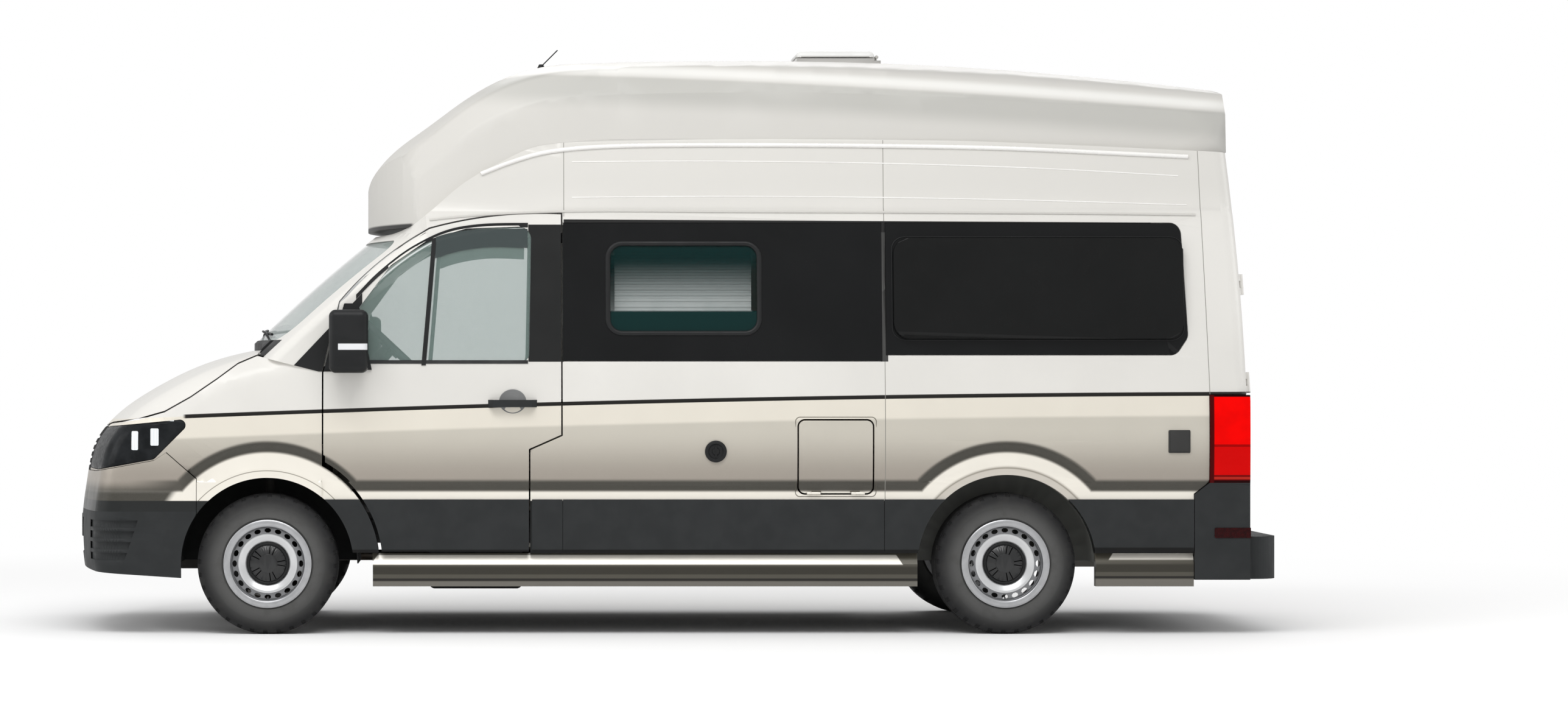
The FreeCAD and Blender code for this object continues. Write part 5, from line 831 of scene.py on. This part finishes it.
# each (finish, slot, height over the side, thickness, rows, upper line, lower line)
windowSkins = {
    "wind_deflector": ("shadeGlass", "clear_glass", 0.004, 0.002, 3,
        [(-1.172, 1.958), (-1.10, 1.978), (-1.00, 1.992), (-0.885, 1.998), (-0.72, 1.998)],
        [(-1.176, 1.852), (-1.10, 1.878), (-1.00, 1.899), (-0.885, 1.909), (-0.72, 1.904)]),
    "window_post": ("blackTrim", "cladding", 0.005, 0.006, 3,
        [(-1.191, 1.950), (-1.216, 1.64), (-1.243, 1.325)],
        [(-1.169, 1.950), (-1.194, 1.64), (-1.221, 1.325)]),
    "window_edge": ("blackTrim", "cladding", 0.003, 0.0022, 1, [(x, z + 0.018) for x, z in windowEdge],
        [(x, z - 0.004) for x, z in windowEdge]),
    "window_base": ("blackTrim", "cladding", 0.003, 0.0022, 1,
        [(-1.50, 1.350), (-1.10, 1.350), (-0.718, 1.350)],
        [(-1.50, 1.333), (-1.10, 1.333), (-0.718, 1.333)]),
}


def skin(name, body, mirror, finish, slot, out, thick, rows, upper, lower):
    # a thin shaped sheet laid on the side between two lines, each eased through (x, z) points
    bm = bmesh.new()
    grid = []
    for top, bottom in zip(smoothPath(upper, 6), smoothPath(lower, 6)):
        column = []
        for row in range(rows + 1):
            flat = top.lerp(bottom, row / rows)
            spot = onSide(flat.x, flat.y, out, windowSide)
            column.append(bm.verts.new(spot) if spot is not None else None)
        grid.append(column)
    for first, second in zip(grid, grid[1:]):
        for row in range(rows):
            corners = (first[row], first[row + 1], second[row + 1], second[row])
            if all(corners):
                bm.faces.new(corners)
    bmesh.ops.recalc_face_normals(bm, faces=bm.faces)
    bmesh.ops.solidify(bm, geom=list(bm.faces), thickness=thick)
    settle(name, bm, finish, body, 40, mirror)


for side, mirrored in sides:
    for name, settings in windowSkins.items():
        skin(name + "_" + side, "door_" + side, mirrored, *settings)
print("camper: side details made")


# Headlamps: two upright light bars and a bright strip on top, a painted highlight along the lamp's top edge
leftHalf = ((0, 0, 0), (0, -1, 0))
lampBars = {"front": (-2.668, -2.636, 0.908, 1.000, 0.006), "rear": (-2.575, -2.535, 0.930, 1.014, 0.006)}
highlightStripEdges = [((-2.58, 0, 1.050), (0.0, 0, 1)), leftHalf, ((-2.46, 0, 0), (-1, 0, 0)),
        ((-2.60, 0, 0), (1, 0, 0))]
for side, mirrored in sides:
    for name, box in lampBars.items():
        patch("lamp_bar_%s_%s" % (name, side), "headlamps", sideBox(*box) + [leftHalf], "lampClear",
                0.003, 0.0035, "body", mirrored)
    # the strip is a painted highlight along the lamp's top edge
    patch("lamp_highlight_strip_" + side, "headlamps", highlightStripEdges, "lampClear", 0.002, 0.0028, "body",
            mirrored, (-0.3, -0.8, 0.4))

# blank number plate on its holder
boxPiece("plate_holder_front", "blackTrim",
        [((-2.990, -0.27, 0.455), (-2.975, 0.27, 0.575), 0.004)])
boxPiece("plate_front", "plateWhite",
        [((-2.9925, -0.26, 0.460), (-2.987, 0.26, 0.570), 0.002)])
print("camper: nose details made")


# Side window frames and pleated blinds
frameLook = {"x": (-0.324, 0.423), "z": (1.482, 1.926), "corner": 0.07, "width": 0.026, "out": 0.02}
blindLook = {"top": 1.915, "pitch": 0.0145, "rows": 22, "y": 0.895, "tilt": 0.0015, "inset": 0.035}


def ringPatch(name, xs, zs, corner, width, out, finish, mirror=False):
    # rounded frame laid on the side, drawn as a tube of oval section
    (x0, x1), (z0, z1) = xs, zs
    path = []
    for cx, cz, start in ((x1 - corner, z1 - corner, 0), (x0 + corner, z1 - corner, 90),
            (x0 + corner, z0 + corner, 180), (x1 - corner, z0 + corner, 270)):
        for i in range(7):
            turn = math.radians(start + 15 * i)
            path.append((cx + corner * math.cos(turn), cz + corner * math.sin(turn)))
    bm = bmesh.new()
    rings = []
    for i, (x, z) in enumerate(path):
        (nextX, nextZ), (lastX, lastZ) = path[(i + 1) % len(path)], path[i - 1]
        along = Vector((nextX - lastX, 0, nextZ - lastZ)).normalized()
        inward = Vector((along.z, 0, -along.x))
        ring = bmesh.ops.create_circle(bm, cap_ends=False, radius=0.5, segments=10)["verts"]
        basis = Matrix((inward * width, Vector((0, -1, 0)) * out, along)).transposed().to_4x4()
        bmesh.ops.transform(bm, matrix=Matrix.Translation(onSide(x, z)) @ basis, verts=ring)
        rings.append(ring)
    bridge(bm, rings + rings[:1])
    settle(name, bm, finish, "body", 50, mirror)


def makeBlind(name, sign, look):
    # pleated blind, drawn half down behind the glass
    x0, x1 = frameLook["x"][0] + look["inset"], frameLook["x"][1] - look["inset"]
    top, pitch, rows, y = look["top"], look["pitch"], look["rows"], sign * look["y"]
    slats = []
    for i in range(rows):
        z, middle = top - i * pitch, y + (look["tilt"] if i % 2 else -look["tilt"])
        slats.append(((x0, middle - 0.003, z - pitch), (x1, middle + 0.003, z), 0.002))
    foot = top - rows * pitch
    slats.append(((x0 - 0.005, y - 0.011, foot - 0.018), (x1 + 0.005, y + 0.011, foot), 0.004))
    boxPiece(name, "blindCloth", slats, angle=40)


for side, mirrored in sides:
    ringPatch("window_frame_" + side, frameLook["x"], frameLook["z"], frameLook["corner"],
            frameLook["width"], frameLook["out"], "blackTrim", mirrored)
    makeBlind("window_blind_" + side, 1 if mirrored else -1, blindLook)
    ringPatch("bulge_seal_" + side, (1.078, 2.514), (1.450, 1.958), 0.06, 0.006, 0.006, "blackTrim",
            mirrored)

# service hatch: second outline round the lid and its two hinge marks
ringPatch("hatch_frame", (0.598, 0.995), (0.679, 1.070), 0.022, 0.0035, 0.004, "pressedMetal")
hingeSeats = [onSide(x, 0.703) for x in (0.70, 0.89)]
boxPiece("hatch_hinge_marks", "pressedMetal", [
    (seat + Vector((-0.024, -0.004, -0.004)), seat + Vector((0.024, 0.003, 0.004)),
        0.0015) for seat in hingeSeats])
print("camper: windows dressed")


# Seats and mattresses: crowned pads
def makePad(name, low, high, finish="seatCloth", crown=0.012, corner=0.035, cells=10, lean=0.0, pivot=None):
    low, high = Vector(low), Vector(high)
    span, centre = high - low, (low + high) / 2
    bm = bmesh.new()
    block(bm, low, high, corner, 4)
    longEdges = [e for e in bm.edges if e.calc_length() > max(span) / cells]
    bmesh.ops.subdivide_edges(bm, edges=longEdges, cuts=cells - 1, use_grid_fill=True)
    bm.normal_update()
    for vert in bm.verts:
        share = sorted(abs(vert.co[i] - centre[i]) / (span[i] / 2) for i in range(3))
        vert.co += vert.normal * (crown * (1 - share[0] ** 2) * (1 - share[1] ** 2) - crown * 0.9)
    if lean:
        turn = Matrix.Translation(pivot) @ Matrix.Rotation(lean, 4, "Y") @ Matrix.Translation(-pivot)
        bmesh.ops.transform(bm, matrix=turn, verts=bm.verts)
    return settle(name, bm, finish, "body", 60)


seatLook = {"x": -1.172, "y": 0.45, "baseTop": 0.880, "half": 0.255, "front": 0.130, "length": 0.500,
        "thick": 0.130,
        "backThick": 0.115, "backHeight": 0.680, "backLean": 0.150, "inset": 0.004, "headHalf": 0.126}


def makeCabSeats(look):
    base, inset, lean, height = look["baseTop"], look["inset"], look["backLean"], look["backHeight"]
    x0 = look["x"] - look["front"]
    for label, mid in (("left", -look["y"]), ("right", look["y"])):
        y0, y1 = mid - look["half"] + inset, mid + look["half"] - inset
        makePad("seat_cushion_" + label, (x0 + inset, y0, base + inset),
                (x0 + look["length"] - inset, y1, base + look["thick"] - 0.002))
        foot = Vector((x0 + look["length"] + 0.002, mid, base))
        makePad("seat_back_" + label, (foot.x + inset, y0, base + 0.012),
                (foot.x + look["backThick"] - 0.006, y1, base + math.hypot(lean, height) - 0.022),
                crown=0.014, lean=math.atan2(lean, height), pivot=foot)
        headX, headZ = foot.x + lean + look["backThick"] / 4, base + height + 0.045
        makePad("head_rest_" + label, (headX + 0.003, mid - look["headHalf"], headZ + 0.004),
                (headX + 0.066, mid + look["headHalf"], headZ + 0.186), crown=0.008, corner=0.026, cells=6)
    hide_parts("cab_seats")


livingLook = {"bench": ((-0.499, -0.865, 0.9833), (-0.075, -0.371, 1.108)), "benchStep": 0.5,
        "bedX": (1.158, 2.747), "bedHalf": 0.863, "bedZ": (1.083, 1.208), "gap": 0.003}


def makeLivingPads(look):
    low, high = [Vector(corner) for corner in look["bench"]]
    for i in range(2):
        step = Vector((0, i * look["benchStep"], 0))
        makePad("bench_cushion_%d" % i, low + step, high + step)
    (x0, x1), (z0, z1), half, gap = look["bedX"], look["bedZ"], look["bedHalf"], look["gap"]
    for i in range(3):
        start = x0 + (x1 - x0) * i / 3
        makePad("mattress_%d" % i, (start + gap, -half, z0),
                (start + (x1 - x0) / 3 - gap, half, z1), "bedCloth", 0.012, 0.03, 12)
    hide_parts("living_cushions")


makeCabSeats(seatLook)
makeLivingPads(livingLook)
print("camper: soft pieces made")


# Cabinet fronts with their grips, washroom door and floor covering
drawers = [(0.31 + i * 0.28, z0, z1, grip) for i in range(3)
        for z0, z1, grip in ((0.64, 1.12, 1.10), (1.14, 1.30, 1.28), (1.32, 1.43, 1.41))]
boxPiece("kitchen_fronts", "plateWhite", [
    ((x0 + 0.006, 0.352, z0), (x0 + 0.272, 0.3675, z1), 0.004) for x0, z0, z1, _ in drawers])
boxPiece("kitchen_grips", "satinChrome", [
    ((x0 + 0.09, 0.342, grip - 0.012), (x0 + 0.19, 0.352, grip), 0.003) for x0, _, _, grip in drawers])
boxPiece("washroom_door", "plateWhite",
        [((0.56, -0.066, 0.64), (1.10, -0.052, 1.98), 0.006),
            ((1.05, -0.05, 1.30), (1.07, -0.035, 1.42), 0.004)])
boxPiece("floor_covering", "floorVinyl",
        [((-1.45, -0.86, 0.6005), (1.155, 0.86, 0.606), 0.002)])
print("camper: inside fitted")


# Wipers, each between two points (y, z) of the windscreen
screenTree = surfaceTree("windscreen", "cowl")
for index, (y0, z0, y1, z1) in enumerate(((-0.62, 1.475, 0.05, 1.50), (0.10, 1.478, 0.72, 1.51))):
    blade = []
    for i in range(13):
        spot = Vector((-3.2, y0 + (y1 - y0) * i / 12, z0 + (z1 - z0) * i / 12))
        hit = screenTree.ray_cast(spot, Vector((1, 0, 0)))[0]
        if hit is not None:
            blade.append(hit + Vector((-0.010, 0, 0.006)))
    tube("wiper_blade_%d" % index, blade, 0.007, "blackTrim", 6)
    arm = [blade[len(blade) // 2] + Vector((-0.010, 0, 0.006)), blade[2] + Vector((-0.016, 0, 0.004)),
           blade[0] + Vector((-0.012, 0.02, -0.03))]
    tube("wiper_arm_%d" % index, arm, 0.006, "blackTrim", 8)

# handle, blank number plate and reflectors at the rear
rearTree = surfaceTree("rear_door_left", "rear_door_right", "rear_bumper", "rear_glass_left",
        "rear_glass_right")
handleSeat, plateSeat = [rearTree.ray_cast(Vector(spot), Vector((-1, 0, 0)))[0]
        for spot in ((3.4, -0.1, 1.17), (3.4, 0.45, 0.86))]
boxPiece("rear_handle", "blackTrim", [((-0.002, -0.06, -0.075), (0.016, 0.06, 0.075), 0.006, 3),
        ((0.012, -0.018, -0.06), (0.034, 0.018, 0.06), 0.006, 3)],
        handleSeat, "rear_door_left")
boxPiece("plate_holder_rear", "blackTrim",
        [((-0.004, -0.27, -0.065), (0.010, 0.27, 0.065), 0.004)], plateSeat, "rear_door_right")
boxPiece("plate_rear", "plateWhite", [((0.008, -0.26, -0.055), (0.013, 0.26, 0.055), 0.002)],
        plateSeat, "rear_door_right")
reflectorEdges = sideBox(2.66, 2.86, 0.476, 0.526, 0.008) + [((0, -0.7, 0), (0, -1, 0))]
for side, mirrored in sides:
    patch("rear_reflector_" + side, "rear_bumper", reflectorEdges, "reflectorRed", 0.004, 0.004,
            "body", mirrored, (0.5, -0.8, 0))
print("camper: rear details made")


# Camera, lights and floor
cameraLook = {"place": (-0.909, -19.98, 1.278), "lens": 88.5, "shift": (0.188, 0.012)}
cameraData = bpy.data.cameras.new("photoView")
cameraData.lens = cameraLook["lens"]
cameraData.sensor_width = 36.0
cameraData.shift_x, cameraData.shift_y = cameraLook["shift"]
cameraData.clip_end = 200.0
camera = show("photoView", cameraData)
camera.location = cameraLook["place"]
camera.rotation_euler = (math.radians(90), 0, 0)
scene.camera = camera

# each (place, aim, size, power)
lightLook = {
    "keyTop": ((-1.5, -6.5, 8.5), (0, 0, 1.2), (9.0, 4.0), 520),
    "fillRight": ((2.0, 8.0, 6.5), (0, 0, 1.2), (8.0, 4.0), 220),
    "frontSoft": ((-9.5, -2.0, 4.0), (-1.5, 0, 1.2), (4.0, 4.0), 140),
    "rearSoft": ((9.5, -1.0, 4.0), (1.5, 0, 1.2), (4.0, 4.0), 120),
}
for name, (place, aim, size, power) in lightLook.items():
    lightData = bpy.data.lights.new(name, "AREA")
    lightData.shape = "RECTANGLE"
    lightData.size, lightData.size_y = size
    lightData.energy = power
    light = show(name, lightData)
    light.location = place
    light.rotation_euler = (Vector(aim) - Vector(place)).to_track_quat("-Z", "Y").to_euler()


def mixOut(tree, output, share, first, second):
    mix = tree.add("ShaderNodeMixShader", at0=share, at1=first.outputs[0], at2=second.outputs[0])
    tree.add(output, at0=mix.outputs[0])


# soft white light all round, and plain white where the camera looks past the object
world = bpy.data.worlds.new("studio")
scene.world = world
sky = Nodes(world)
soft, plain = [sky.add("ShaderNodeBackground", Color=(1.0, 1.0, 1.0, 1.0),
        Strength=strength) for strength in (0.66, 1.0)]
rays = sky.add("ShaderNodeLightPath")
seen = sky.calc("MAXIMUM", rays.outputs["Is Camera Ray"], rays.outputs["Is Transmission Ray"])
mixOut(sky, "ShaderNodeOutputWorld", seen, soft, plain)

floorMesh = bpy.data.meshes.new("studioFloor")
bm = bmesh.new()
bmesh.ops.create_grid(bm, x_segments=1, y_segments=1, size=60.0)
bm.to_mesh(floorMesh)
bm.free()
floorPiece = show("studioFloor", floorMesh)
floorMaterial = bpy.data.materials.new("studioFloor")
ground = Nodes(floorMaterial)
matte = ground.add("ShaderNodeBsdfDiffuse", Color=(0.93, 0.93, 0.93, 1.0))
glow = ground.add("ShaderNodeEmission", Color=(1.0, 1.0, 1.0, 1.0), Strength=1.0)
place = ground.add("ShaderNodeTexCoord").outputs["Object"]
away = ground.add("ShaderNodeVectorMath", {"operation": "LENGTH"}, at0=place).outputs["Value"]
rays = ground.add("ShaderNodeLightPath")
share = ground.times(ground.ramp(away, 4.0, 9.0), rays.outputs["Is Camera Ray"])
mixOut(ground, "ShaderNodeOutputMaterial", share, matte, glow)
floorMesh.materials.append(floorMaterial)
scene.view_settings.view_transform = "Standard"
print("camper: studio set")
